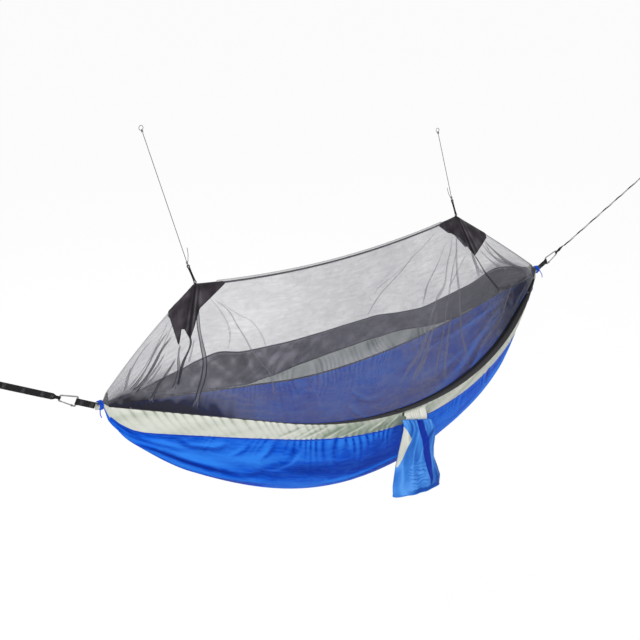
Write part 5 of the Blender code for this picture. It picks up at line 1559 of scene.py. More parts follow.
WEBBING = Finish("webbing", Weave.WEBBING, (0.017, 0.017, 0.019), (0.004, 0.004, 0.005), 0.75, 0.03,
                 specular=0.1)
TACK = Finish("webbing", Weave.WEBBING, (0.085, 0.085, 0.09), (0.03, 0.03, 0.032), 0.7, name="bartack",
              specular=0.1)
GREY_CORD = Finish("grey_cord", Weave.BRAID, (0.26, 0.26, 0.27), (0.09, 0.09, 0.10), 0.6, specular=0.15)
BLACK_CORD = Finish("black_tape", Weave.BRAID, (0.018, 0.018, 0.02), (0.005, 0.005, 0.006), 0.65,
                    name="black_cord", specular=0.1)
BLUE_CORD = Finish("blue_cord", Weave.BRAID, (0.012, 0.10, 0.70), (0.004, 0.04, 0.40), 0.5, specular=0.2,
                   tint=(0.2, 0.45, 1.0))
SACK_BLUE = Finish("sack_blue", Weave.RIPSTOP, (0.040, 0.205, 0.66), (0.024, 0.150, 0.58), 0.46,
                   specular=0.06, tint=(0.35, 0.6, 1.0), crease=0.2, painted_crease_shading=(0.11, 0.36, 0.88),
                   crease_run=(9.0, 14.0), painted_valley_shade=(0.004, 0.045, 0.32), painted_crest_highlight=(0.11, 0.35, 0.86))
HEM = Finish("net", Weave.RIPSTOP, (0.40, 0.40, 0.42), (0.26, 0.26, 0.28), 0.6, name="ridge_hem")
PALE_HEM = Finish("net", Weave.RIPSTOP, (0.52, 0.52, 0.53), (0.44, 0.44, 0.46), 0.6, name="pale_hem")
RIDGE_TAPE = Finish("black_tape", Weave.WEBBING, (0.055, 0.055, 0.06), (0.03, 0.03, 0.032), 0.6,
                    name="ridge_tape", specular=0.1)
BLUE_SEAM = Finish("blue_nylon", Weave.RIPSTOP, (0.005, 0.055, 0.48), (0.002, 0.035, 0.36), 0.5,
                   name="blue_seam", tint=(0.2, 0.45, 1.0))
SEAM_DARK = Finish("dark_nylon", Weave.RIPSTOP, (0.05, 0.05, 0.06), (0.03, 0.03, 0.037), 0.55,
                   name="dark_seam")
PATCH_HEM = Finish("dark_nylon", Weave.RIPSTOP, (0.022, 0.021, 0.024), (0.014, 0.014, 0.016), 0.5,
                   name="patch_hem")
STRIPE = Finish("stripe_blue", Weave.RIPSTOP, (0.006, 0.030, 0.34), (0.004, 0.020, 0.25), 0.45,
                specular=0.06, tint=(0.2, 0.4, 1.0))


@dataclass(frozen=True)
class Shelf:
    """What gives each laid-out piece its place in the frame, its finish and its body, and hides the CAD
    nodes that it stands for.
    """

    moved: Array

    def put(self, piece: Piece, finish: Finish | Sequence[Finish], body: Body, replaces: Sequence[str] = (),
            thickness: float = 0.0, sharp: float = 50.0) -> Piece:
        """Move a laid-out piece into the frame, give it its finish and its body, and hide the CAD nodes that
        it stands for.

        Args:
            piece: the object, in the layout's place.
            finish: its finish, or one for each material index.
            body: the body that it rides on.
            replaces: CAD nodes that it stands for.
            thickness: a wall for Solidify, or 0.
            sharp: the angle in degrees past which an edge is sharp.

        Returns:
            The piece.
        """
        piece.data.transform(Matrix.Translation(Vector(self.moved)))
        finishes = [finish] if isinstance(finish, Finish) else list(finish)
        for one in finishes:
            piece.data.materials.append(one.material())
        piece.data.set_sharp_from_angle(angle=math.radians(sharp))
        if thickness:
            wall = piece.modifiers.new("wall", "SOLIDIFY")
            wall.thickness = thickness
            wall.offset = 0.0
        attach(piece, body.value)
        if replaces:
            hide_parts(*replaces)
        LOG.info("%s rides on %s", piece.name, body.value)
        return piece

    @staticmethod
    def dress(node: str, finish: Finish) -> None:
        """Give a CAD node's own object a finish.

        Args:
            node: the node's name.
            finish: its finish.
        """
        solid = bpy.data.objects[node]
        solid.data.materials.clear()
        solid.data.materials.append(finish.material())
        LOG.info("%s keeps its solid", node)


@dataclass
class HammockCloth:
    """The bed, its bands, the net, the zip tapes and the gathered ends, cut from the loops."""

    coarse: Loops
    fine: Loops
    wall: float = 0.0009
    hem_radius: float = 0.0017
    hem_reach: float = 1.2
    tape_ends: tuple[float, float] = (0.10, 0.09)
    seam_half: float = 0.0045
    seam_rise: float = 0.0014

    def build(self, shelf: Shelf) -> None:
        """Make every cloth panel and both gathers.

        Args:
            shelf: where the pieces go.
        """
        finishes = {
            Panel.NEAR_BAND: SAGE, Panel.BED: BLUE, Panel.FAR_BAND: SHADE_PAINTED_FAR_SAGE, Panel.NET_BAND: SHEEN_PAINTED_DARK_BAND,
            Panel.FAR_NET: NET, Panel.NEAR_NET: NET, Panel.TAPE_INNER: INNER_TAPE, Panel.TAPE_OUTER: TAPE}
        for panel, finish in finishes.items():
            points, flat, values = (self.coarse if panel is Panel.BED else self.fine).strip(panel)
            layers, tone, wall = (values, None, 0.0) if finish is NET else (None, values, self.wall)
            piece = grid_object(panel.node + "_cloth", points, flat, layers, flip=True, tone=tone)
            shelf.put(piece, finish, Body.HAMMOCK, (panel.node,), wall)
            self.declare(piece, panel, points, [self.folds(shelf, panel)] if finish is NET else [])
        self.ridge(shelf)
        self.seams(shelf)
        for side, name in ((-1, "left"), (1, "right")):
            self.gather(shelf, side, name)

    def folds(self, shelf: Shelf, panel: Panel) -> Piece:
        """Lay a net panel's folds on it, all in one piece.

        Args:
            shelf: where the piece goes.
            panel: the panel.

        Returns:
            The piece.
        """
        bm = bmesh.new()
        for pleat in NET_PLEATS[panel]:
            points, layers = pleat.ribbon(self.fine, panel)
            part = grid_object("fold", points, None, layers)
            bm.from_mesh(part.data)
            bpy.data.meshes.remove(part.data)
        mesh = mesh_of(panel.node + "_folds", bm)
        mesh.shade_smooth()
        return shelf.put(add_object(mesh.name, mesh), NET, Body.HAMMOCK)

    @staticmethod
    def declare(piece: Piece, panel: Panel, points: Array, folds: list[Piece]) -> None:
        """Report how large a panel hangs.

        Args:
            piece: the panel's piece.
            panel: the panel; not used.
            points: its points, places by rows by three.
            folds: the pieces that are folds of the same cloth; not used.
        """
        along, across = (np.linalg.norm(np.diff(points, axis=axis), axis=2) for axis in (0, 1))
        LOG.info("%s: hung area %.3f m2, widest %.3f m, longest %.3f m", piece.name,
                 (along[:, :-1] * across[:-1, :]).sum(), across.sum(axis=1).max(), along.sum(axis=0).max())

    def ridge(self, shelf: Shelf) -> None:
        """Make the rolled hem along the ridge, in its dark tape between the patches and pale beyond them.

        Args:
            shelf: where the pieces go.
        """
        loops, part = self.fine, self.fine.open_range()
        spine, places = loops.points[part, Panel.RIDGE_SEAM.start + 1], loops.places[part]
        hemmed = spine[(places >= -self.hem_reach) & (places <= self.hem_reach)]
        hem = rope("ridge_hem", hemmed + np.array([0.0, 0.0, 0.0006]), self.hem_radius, 8)
        shelf.put(hem, HEM, Body.HAMMOCK, ("ridge_seam",))
        first, last = loops.shape.left_peak + self.tape_ends[0], loops.shape.right_peak - self.tape_ends[1]
        path = spine[(places >= first) & (places <= last)]
        across, up = frame_along(path)
        up = np.sign(up[0, 2]) * up
        outline = ((-0.0014, -0.0052), (-0.0021, -0.0022), (-0.0021, 0.0014), (-0.0010, 0.0026),
                   (-0.0010, 0.0088), (0.0, 0.0114), (0.0010, 0.0088), (0.0010, 0.0026), (0.0021, 0.0014),
                   (0.0021, -0.0018), (0.0014, -0.0052))
        ring = np.stack([path + u * across + v * up for u, v in outline], axis=1)
        kinds = np.array([0, 0, 0, 1, 2, 2, 1, 0, 0, 0, 0])
        binding = grid_object("ridge_binding", ring, closed=True, kinds=kinds)
        shelf.put(binding, (RIDGE_TAPE, PALE_HEM, HEM), Body.HAMMOCK, ("ridge_tape",))

    def seams(self, shelf: Shelf) -> None:
        """Make the felled seams that join the panels: flat raised strips that follow every pucker.

        Args:
            shelf: where the pieces go.
        """
        loops, part = self.fine, self.fine.open_range()
        for name, panel, before, finish in (
                ("near_felled_seam", Panel.BED, 2, BLUE_SEAM),
                ("far_felled_seam", Panel.FAR_BAND, 2, SEAM_DARK),
                ("far_band_seam", Panel.NET_BAND, 1, SEAM_DARK),
                ("shoulder_seam", Panel.FAR_NET, 1, SEAM_DARK)):
            mark = panel.start
            centre, out = loops.points[part, mark], loops.normals[part, mark]
            way = unit(loops.points[part, mark + 1] - loops.points[part, mark - before])
            ring = [centre + way * self.seam_half * math.cos(angle) + out * self.seam_rise * math.sin(angle)
                    for angle in np.linspace(0.0, 2.0 * math.pi, 10, endpoint=False)]
            shelf.put(grid_object(name, np.stack(ring, axis=1), closed=True), finish, Body.HAMMOCK)

    def gather(self, shelf: Shelf, side: int, name: str) -> None:
        """Make one gathered end: every layer drawn together in flutes, with a flared tail.

        Args:
            shelf: where the piece goes.
            side: -1 at the left end, 1 at the right.
            name: the end's name.
        """
        loops, count = self.fine, self.fine.gather_steps + 1
        points = loops.points[:count] if side < 0 else loops.points[-count:]
        index = np.arange(points.shape[1])
        kinds = np.zeros(len(index), dtype=int)
        for panel, kind in ((Panel.BED, 1), (Panel.NEAR_NET, 2), (Panel.FAR_NET, 2)):
            kinds[panel.start:panel.start + panel.rows] = kind
        layers = 2.2 + 2.4 * (1.0 + 0.8 * np.sin(index * 0.9 + 2.0 * np.sin(index * 0.11)))
        layers = np.broadcast_to(np.append(layers, layers[0]), (count, len(index) + 1))
        piece = grid_object(name + "_gathered_cloth", points, layers=layers, flip=True, closed=True,
                            kinds=kinds)
        shelf.put(piece, (SAGE, BLUE, NET), Body.HAMMOCK, (name + "_gather",))


@dataclass
class Line:
    """One suspension line, outward from a gathered end: its webbing loop, carabiner and tree strap."""

    name: str
    side: int
    angle: float
    loop_reach: float
    strap_length: float
    roll: float = 0.0
    half: float = 0.0125
    thick: float = 0.0016
    tab: float = 0.00625
    flare: float = 0.03
    unroll: float = 0.07
    carabiner_length: float = 0.078
    hole: float = 0.0034
    chain_pitch: float = 0.1
    chain_tack: float = 0.012
    chain_bulge: float = 0.0026
    eye_tab: float = 0.045
    eye_length: float = 0.05
    eye_half: float = 0.011
    tack_length: float = 0.012
    tack_thread: float = 0.00075

    @property
    def thin(self) -> float:
        """Return half the webbing's thickness."""
        return self.thick / 2.0

    @property
    def top_bar(self) -> float:
        """Return how far out the carabiner's outer bar lies."""
        return self.loop_reach + self.carabiner_length

    @property
    def end(self) -> float:
        """Return how far out the tree strap meets its sewn eye."""
        return self.top_bar + self.strap_length

    def at(self, along: float, across: float = 0.0, through: float = 0.0, roll: float = 0.0) -> Array:
        """Return a point given along, across and through the line.

        Args:
            along: how far out from the gathered end.
            across: how far up from the line.
            through: how far back from it.
            roll: the angle by which both are turned about it.

        Returns:
            The point.
        """
        way = np.array([self.side * math.cos(self.angle), 0.0, math.sin(self.angle)])
        flat = np.array([-self.side * math.sin(self.angle), 0.0, math.cos(self.angle)])
        aside = Matrix.Rotation(roll, 3, Vector(way)) @ Vector(flat * across + BACK * through)
        return np.array([self.side * HALF_LENGTH, 0.0, 0.0]) + way * along + np.array(aside)

    def band(self, name: str, stops: Sequence[tuple[float, float, float, float, float]],
             step: float = 0.004) -> Piece:
        """Make flat webbing through stops of along, half width, middle offset, half thickness and roll.

        Args:
            name: the piece's name.
            stops: the stops, in order along the line.
            step: the length of one row of faces.

        Returns:
            The object.
        """
        table = np.array(stops)
        count = max(4, int((table[-1, 0] - table[0, 0]) / step))
        along = np.linspace(table[0, 0], table[-1, 0], count + 1)
        half, offset, thick, roll = (np.interp(along, table[:, 0], table[:, k]) for k in range(1, 5))
        edge = [(-1.0, -0.35), *((u, -1.0) for u in (-0.93, -0.5, 0.0, 0.5, 0.93)), (1.0, -0.35)]
        outline = edge + [(-u, -v) for u, v in edge]
        rings = [[self.at(a, h * u, o + t * v, r) for u, v in outline]
                 for a, h, o, t, r in zip(along, half, offset, thick, roll)]
        return grid_object(name, np.array(rings), closed=True)

    def sleeve(self, name: str, bar: float, half: float) -> Piece:
        """Make webbing wrapped round a carabiner's bar.

        Args:
            name: the piece's name.
            bar: how far out the bar lies.
            half: half the webbing's width.

        Returns:
            The object, an open-ended sleeve with a wall.
        """
        inner, outer = self.hole, self.hole + self.thick
        outline = ((-half, inner), (-half, outer), (-half * 0.6, outer), (0.0, outer), (half * 0.6, outer),
                   (half, outer), (half, inner), (0.0, inner), (-half, inner))
        turns = np.linspace(0.0, 2.0 * math.pi, 28, endpoint=False)
        rings = [[self.at(bar + radius * math.cos(a), across, radius * math.sin(a)) for a in turns]
                 for across, radius in outline]
        return grid_object(name, np.array(rings), closed=True)

    def build(self, shelf: Shelf) -> None:
        """Make the whole line, and dress the carabiner's frame, gate and pin in worn anodised metal.

        Args:
            shelf: where the pieces go.
        """
        self.loop(shelf)
        self.strap(shelf)
        self.eye(shelf)
        for part in ("carabiner", "gate", "gate_pin"):
            shelf.dress(f"{self.name}_{part}", METAL_CAD)

    def loop(self, shelf: Shelf) -> None:
        """Make the webbing loop between the gathered end and the carabiner.

        Args:
            shelf: where the pieces go.
        """
        half, thin, bar = self.half, self.thin, self.loop_reach
        start = (0.0063 + half * math.sin(self.angle)) / math.cos(self.angle)
        mouth = bar - 0.012
        for name, offset in (("front", -thin * 1.02), ("back", thin * 1.02)):
            stops = [(start - 0.004, half, offset, thin, 0.0), (mouth - 0.012, half, offset, thin, 0.0),
                     (mouth, half, offset * 1.3, thin, 0.0),
                     (bar - 0.001, half, math.copysign(self.hole + thin, offset), thin, 0.0)]
            piece = self.band(f"{self.name}_loop_{name}", stops, 0.003)
            shelf.put(piece, WEBBING, Body.HAMMOCK, (self.name + "_end_loop",))
        shelf.put(self.sleeve(self.name + "_loop_turn", bar, half), WEBBING, Body.HAMMOCK)
        self.tacks(shelf, "loop_tack", [start + 0.012, bar - 0.02], half * 0.8, self.thick)

    def tacks(self, shelf: Shelf, name: str, spots: Sequence[float], half: float, lift: float,
              roll: float = 0.0, body: Body = Body.HAMMOCK, offset: float = 0.0) -> None:
        """Make bar tacks: dense raised blocks of zigzag stitches across the webbing, on both faces.

        Args:
            shelf: where the piece goes.
            name: the end of the piece's name.
            spots: how far out each tack lies.
            half: half the stitches' length.
            lift: how far the stitches lie from the webbing's middle.
            roll: the webbing's roll.
            body: the body that it rides on.
            offset: where the webbing's middle lies through the line.
        """
        bm = bmesh.new()
        for spot, face, k in product(spots, (-1, 1), range(7)):
            made = bmesh.ops.create_cone(bm, cap_ends=True, segments=6, radius1=self.tack_thread,
                                         radius2=self.tack_thread, depth=2.0 * half)
            way = Vector(self.at(spot, 1.0, 0.0, roll)) - Vector(self.at(spot, 0.0, 0.0, roll))
            turn = Vector((0.0, 0.0, 1.0)).rotation_difference(way).to_matrix().to_4x4()
            lean = Matrix.Rotation(0.16 * (-1) ** k, 4, Vector(BACK))
            along = spot + (k / 6.0 - 0.5) * self.tack_length
            place = Matrix.Translation(Vector(self.at(along, 0.0, offset + face * lift, roll)))
            bmesh.ops.transform(bm, verts=made["verts"], matrix=place @ lean @ turn)
        mesh = mesh_of(f"{self.name}_{name}", bm)
        mesh.uv_layers.new(name="UVMap")
        mesh.shade_smooth()
        shelf.put(add_object(mesh.name, mesh), TACK, body)

    def strap(self, shelf: Shelf) -> None:
        """Make the daisy-chain tree strap: its narrow folded tab, its base, and the tacked row of loops.

        Args:
            shelf: where the pieces go.
        """
        half, thin, tab, roll = self.half, self.thin, self.tab, self.roll
        bar, end = self.top_bar, self.end
        flat, rolled = bar + self.flare, bar + 2.0 * self.flare
        base = [(bar + self.hole, tab, 0.0, thin * 1.8, 0.0),
                (bar + self.flare * 0.5, tab, 0.0, thin * 1.6, 0.0),
                (flat, half, 0.0, thin, roll * 0.33), (rolled, half, 0.0, thin, roll),
                (end - self.unroll, half, 0.0, thin, roll),
                (end - self.unroll / 2.0, half, 0.0, thin, roll / 2.0), (end, half, 0.0, thin, 0.0)]
        shelf.put(self.band(self.name + "_strap_base", base), WEBBING, Body.HAMMOCK,
                  (self.name + "_tree_strap",))
        shelf.put(self.sleeve(self.name + "_strap_turn", bar, tab), WEBBING, Body.HAMMOCK)
        close = -(self.thick + 0.0003)
        first, last = rolled + self.chain_tack, end - self.unroll - self.chain_tack
        count = max(1, round((last - first) / self.chain_pitch))
        pitch = (last - first - self.chain_tack) / count
        stops = []
        for k in range(count):
            start = first + k * pitch
            stops.append((start, half, close, thin, roll))
            for share in np.linspace(0.0, 1.0, 12, endpoint=False):
                along, bulge = (pitch - self.chain_tack) * share, math.sin(math.pi * share)
                stops.append((start + self.chain_tack + along, half * (1.0 - 0.05 * bulge),
                              close - self.chain_bulge * bulge, thin, roll))
        stops += [(first + count * pitch, half, close, thin, roll), (last, half, close, thin, roll)]
        shelf.put(self.band(self.name + "_chain", stops), WEBBING, Body.HAMMOCK,
                  (self.name + "_strap_loops",))
        spots = [first + k * pitch + self.chain_tack / 2.0 for k in range(count + 1)]
        self.tacks(shelf, "chain_tacks", spots, half * 0.86, self.thick * 1.45, roll, offset=close / 2.0)
        self.tacks(shelf, "tab_tacks", [flat + 0.004], tab, thin * 1.4, roll * 0.33)

    def eye(self, shelf: Shelf) -> None:
        """Make the strap's sewn end eye: two plies that part round the open loop and meet in the throat.

        Args:
            shelf: where the pieces go.
        """
        half, thin, wide, end = self.half, self.thin, self.eye_half, self.end
        throat = end + self.eye_tab
        middle = throat + self.eye_length - wide
        route = [(end + 0.0006, thin * 1.02), (end + self.eye_tab * 0.85, thin * 1.02),
                 (throat + 0.004, thin * 1.6), (throat + 0.014, wide * 0.72), (middle - 0.004, wide + thin)]
        back = [(a, -t) for a, t in reversed(route)]
        for k in range(1, 16):
            angle = math.pi / 2.0 - math.pi * k / 16.0
            route.append((middle + (wide + thin) * math.cos(angle), (wide + thin) * math.sin(angle)))
        path = smooth_path([(a, t, 0.0) for a, t in route + back], 110)
        edge = [(-1, -0.4), (-0.94, -1), (0, -1), (0.94, -1), (1, -0.4)]
        outline = edge + [(-u, -v) for u, v in edge]
        rings = [[self.at(a - tt * thin * v, half * u, t + ta * thin * v) for u, v in outline]
                 for (a, t, _), (ta, tt, _) in zip(path, unit(np.gradient(path, axis=0)))]
        piece = grid_object(self.name + "_eye_webbing", np.array(rings), closed=True)
        shelf.put(piece, WEBBING, Body.ANCHORS, (self.name + "_anchor_eye",))
        self.tacks(shelf, "eye_tacks", [end + 0.01, throat - 0.008], half * 0.86, self.thick * 1.02,
                   body=Body.ANCHORS)


@dataclass
class Whip:
    """The blue cord wound round a gathered end, with one short tail."""

    name: str
    side: int
    start: float = 1.2294
    radius: float = 0.0172
    cord: float = 0.0038
    turns: float = 3.4
    pitch: float = 0.0046
    lay: float = 90.0

    def build(self, shelf: Shelf) -> None:
        """Wind the cord and let its tail hang.

        Args:
            shelf: where the piece goes.
        """
        points = []
        for k in range(int(self.turns * 30) + 1):
            turn = k / 30.0
            angle = 2.0 * math.pi * turn + 0.6
            radius = self.radius * (1.0 + 0.03 * math.sin(5.0 * angle))
            points.append(np.array([self.side * (self.start + self.pitch * turn), radius * math.cos(angle),
                                    radius * math.sin(angle)]))
        last = points[-1]
        out = np.array([self.side * 0.006, last[1] * 0.45, -0.012])
        points += [last + out * 0.6, last + out * 1.5 + np.array([0.0, 0.0, -0.004]),
                   last + out * 2.2 + np.array([-self.side * 0.006, 0.0, -0.010])]
        path = smooth_path(points, len(points) * 2)
        winding = rope(self.name + "_whipping", path, self.cord / 2.0, 12, self.lay)
        shelf.put(winding, BLUE_CORD, Body.HAMMOCK, (self.name + "_gather_cord",))


@dataclass
class NetCord:
    """What holds up a peak: a black loop sewn in the patch, the cord tied to it, and its top loop."""

    name: str
    peak: float
    length: float
    lean: float
    tail_turn: float
    body: Body
    diameter: float = 0.003
    tied_radius: float = 0.00126
    loop_lean: float = math.radians(21.5)
    loop_radius: float = 0.005
    loop_length: float = 0.088
    loop_height: float = 0.0066
    pull_in: float = 0.0028
    tie_ring: float = 0.0055
    knot_radius: float = 0.0048
    knot_length: float = 0.014
    tail_length: float = 0.06
    top_radius: float = 0.009
    lay: float = 110.0

    @staticmethod
    def leaning(lean: float) -> tuple[Array, Array]:
        """Return the way up and the way aside of something that leans to the left by an angle."""
        rise, run = math.cos(lean), math.sin(lean)
        return np.array([-run, 0.0, rise]), np.array([rise, 0.0, run])

    def build(self, shelf: Shelf, shape: TentShape) -> None:
        """Make the loop, the knots, the cord and its top loop.

        Args:
            shelf: where the pieces go.
            shape: the tent's curves.
        """
        up, side = self.leaning(self.lean)
        centre = self.black_loop(shelf, shape) + up * 0.0019
        knot = centre + up * (self.tie_ring + self.knot_length * 0.3)
        start = knot + up * (self.knot_length / 2.0 + 0.0003)
        path = np.linspace(start, start + up * self.length, 36)
        cord = rope(self.name + "_long_cord", path, self.diameter / 2.0, 12, self.lay)
        shelf.put(cord, GREY_CORD, self.body, (self.name + "_net_cord",))
        shelf.put(self.tie(centre, knot, up, side), GREY_CORD, self.body, (self.name + "_cord_knot",))
        knot = path[-1] + up * (0.0003 + self.knot_length / 2.0)
        top = self.top_loop(knot + up * (self.top_radius + self.knot_length * 0.3), knot, up, side)
        shelf.put(top, GREY_CORD, self.body, (self.name + "_cord_top_loop",))

    def black_loop(self, shelf: Shelf, shape: TentShape) -> Array:
        """Make the narrow loop sewn in the patch.

        Args:
            shelf: where the piece goes.
            shape: the tent's curves.

        Returns:
            The middle of its top turn, where the cord is tied.
        """
        rise, beside = self.leaning(self.loop_lean)
        foot = np.array([self.peak, shape.peak_back, shape.peak_height + self.loop_height])
        radius = self.loop_radius
        low, high = foot + rise * radius, foot + rise * (self.loop_length - radius)
        ring = []
        for sign, turn in ((1.0, high), (-1.0, low)):
            ring += [turn + sign * radius * (math.cos(a) * beside + math.sin(a) * rise)
                     for a in np.linspace(0.0, math.pi, 12)]
            for s in np.linspace(0.06, 0.94, 14):
                drawn = beside * self.pull_in * math.sin(math.pi * s) ** 0.25
                ring.append(turn - sign * radius * beside - sign * (high - low) * s + sign * drawn)
        loop = rope(self.name + "_black_loop", np.array(ring + ring[:1]), 0.0025, 10)
        shelf.put(loop, BLACK_CORD, Body.HAMMOCK, (self.name + "_peak_loop",))
        return high + rise * radius

    def overhand(self, centre: Array, up: Array, side: Array) -> list[Array]:
        """Return a route that winds three times round the cord, as a pulled-tight knot does.

        Args:
            centre: the knot's middle.
            up: the way along the cord.
            side: a way across it.

        Returns:
            The route's points.
        """
        route = []
        for share in np.linspace(0.0, 1.0, 46):
            angle = 2.0 * math.pi * share * 3.2
            radius = (self.knot_radius - self.diameter / 2.0) * (0.75 + 0.25 * math.sin(math.pi * share))
            along = (share - 0.5) * (self.knot_length - self.diameter)
            route.append(centre + up * along + radius * (math.cos(angle) * side + math.sin(angle) * BACK))
        return route

    def tie(self, ring: Array, knot: Array, up: Array, side: Array) -> Piece:
        """Make the knot over the black loop, from the eye round the loop to the loose tail.

        Args:
            ring: the middle of the eye.
            knot: the knot's middle.
            up: the way along the cord.
            side: the way to its right.

        Returns:
            The object.
        """
        eye = [ring + self.tie_ring * (math.cos(a) * up + math.sin(a) * BACK)
               for a in np.linspace(math.radians(25), math.radians(335), 18)]
        turned = np.array(Matrix.Rotation(self.tail_turn, 3, "Y") @ Vector(up))
        aside = side * math.copysign(1.0, self.tail_turn)
        start = knot + aside * self.knot_radius * 0.8
        tail = [start + aside * 0.002 + turned * 0.004]
        tail += [start + turned * self.tail_length * s + aside * 0.003 * math.sin(math.pi * s)
                 for s in np.linspace(0.15, 1.0, 8)]
        route = smooth_path([*eye, *self.overhand(knot, up, side), *tail], 190)
        return rope(self.name + "_tie", route, self.tied_radius, 10, self.lay)

    def top_loop(self, ring: Array, knot: Array, up: Array, side: Array) -> Piece:
        """Make the loop tied in the cord's top end, with its knot.

        Args:
            ring: the loop's middle.
            knot: the knot's middle.
            up: the way along the cord.
            side: a way across it.

        Returns:
            The object.
        """
        loop = [ring + self.top_radius * (math.cos(a) * -up + math.sin(a) * side)
                for a in np.linspace(math.radians(20), math.radians(340), 22)]
        route = smooth_path([*loop, *reversed(self.overhand(knot, up, side))], 150)
        return rope(self.name + "_top_tie", route, self.tied_radius, 10, self.lay)


@dataclass
class PeakPatch:
    """A dark cloth patch folded over the ridge at a peak, with its crease, its pleats and its rolled hem."""

    name: str
    near_outline: Marks
    far_outline: Marks
    crease: tuple[tuple[float, float], tuple[float, float]]
    columns: int = 70
    rows: int = 26
    reach: int = 60
    lift: float = 0.0040
    wall: float = 0.0010
    rim: float = 0.012
    hem_radius: float = 0.0014

    def build(self, shelf: Shelf, loops: Loops) -> None:
        """Lay the patch over both sides of the net and hem its rim.

        Args:
            shelf: where the pieces go.
            loops: the cloth that it lies on.
        """
        near, far = np.array(self.near_outline), np.array(self.far_outline)
        places = np.linspace(near[:, 0].min(), near[:, 0].max(), self.columns)
        share = np.linspace(0.0, 1.0, self.rows + 1)
        index = np.arange(self.columns)
        beside = np.minimum(index, index[::-1]) * (places[-1] - places[0]) / (self.columns - 1)
        rings = np.empty((self.columns, 2 * self.rows + 1, 3))
        flat, tone = np.empty(rings.shape[:2] + (2,)), np.empty(rings.shape[:2])
        for i, x in enumerate(places):
            for side, outline in ((1, near), (-1, far)):
                drop = np.interp(x, outline[:, 0], outline[:, 1])
                line, normal = self.net_line(loops, x, side)
                run, down = travelled(line), share * drop
                spot, out = (np.stack([np.interp(down, run, table[:, k]) for k in range(3)], axis=-1)
                             for table in (line, normal))
                edge = np.minimum((1.0 - share) * drop, beside[i]) / self.rim + 0.35
                fold, shade = self.pleats(x, down, side)
                high = self.lift * np.clip(edge, 0.35, 1.0) + fold
                picks = self.rows - side * np.arange(self.rows + 1)
                rings[i, picks] = spot + unit(out) * high[:, None]
                flat[i, picks, 0], flat[i, picks, 1] = x, -side * down
                tone[i, picks] = shade
        piece = grid_object(self.name + "_patch", rings, flat, tone=np.clip(tone, -1.0, 1.0))
        shelf.put(piece, DARK, Body.HAMMOCK, (self.name + "_peak_patch",), self.wall)
        for side, column in (("near", 0), ("far", -1)):
            path = smooth_path(rings[:, column], 120)
            hem = rope(f"{self.name}_patch_{side}_hem", path, self.hem_radius, 8)
            shelf.put(hem, PATCH_HEM, Body.HAMMOCK)

    def net_line(self, loops: Loops, x: float, side: int) -> tuple[Array, Array]:
        """Return the net's line down one side from the ridge at a place, and its normals.

        Args:
            loops: the cloth.
            x: the place along the hammock.
            side: 1 for the near side, -1 for the far one.

        Returns:
            Points and normals, one to a row.
        """
        low, part = loops.between(x)
        picks = (Panel.RIDGE_SEAM.start + 1 + side * np.arange(self.reach)) % loops.points.shape[1]
        line, normal = (table[low][picks] * (1.0 - part) + table[low + 1][picks] * part
                        for table in (loops.points, loops.normals))
        return line, normal

    def pleats(self, x: float, drop: Array, side: int) -> tuple[Array, Array]:
        """Return the patch's own folds: the crease from the peak and smaller ones that fan out beside it,
        with painted shade along the crease and painted light and shade beside the smaller ones.

        Args:
            x: the place along the hammock.
            drop: distances down from the ridge.
            side: 1 for the near side, -1 for the far one.

        Returns:
            Heights in metres and painted shading tones about 0, at each distance.
        """
        (x0, d0), (x1, d1) = self.crease
        way = np.array([x1 - x0, d1 - d0])
        length = float(np.hypot(*way))
        way = way / length
        along = ((x - x0) * way[0] + (drop - d0) * way[1]) / length
        aside = (x - x0) * way[1] - (drop - d0) * way[0]
        inside = smooth_step(-0.1, 0.1, along) * (1.0 - smooth_step(0.85, 1.1, along))
        fan = 0.4 + 0.6 * np.clip(along, 0, 1)
        height = 0.0042 * bell(aside, 0.007) * inside
        for shift, tall in ((0.024, 0.0026), (-0.022, 0.0022), (0.046, 0.0016), (-0.044, 0.0015)):
            height = height + tall * bell(aside - shift * fan, 0.006) * inside
        # Painted shade along the crease, and painted highlights and shade beside the smaller folds. The
        # cloud adds random tone.
        tone = -1.5 * bell(aside + 0.004, 0.007) * inside
        for shift, shade in ((0.014, 0.8), (0.034, -0.7), (0.052, 0.5), (-0.020, 0.5), (-0.036, -0.6)):
            tone = tone + shade * bell(aside - shift * fan, 0.008) * inside
        cloud = speckle(x * 22.0, drop * 30.0, 3.3 * side)
        return height * (1.0 if side > 0 else 0.6), tone + 0.9 * cloud


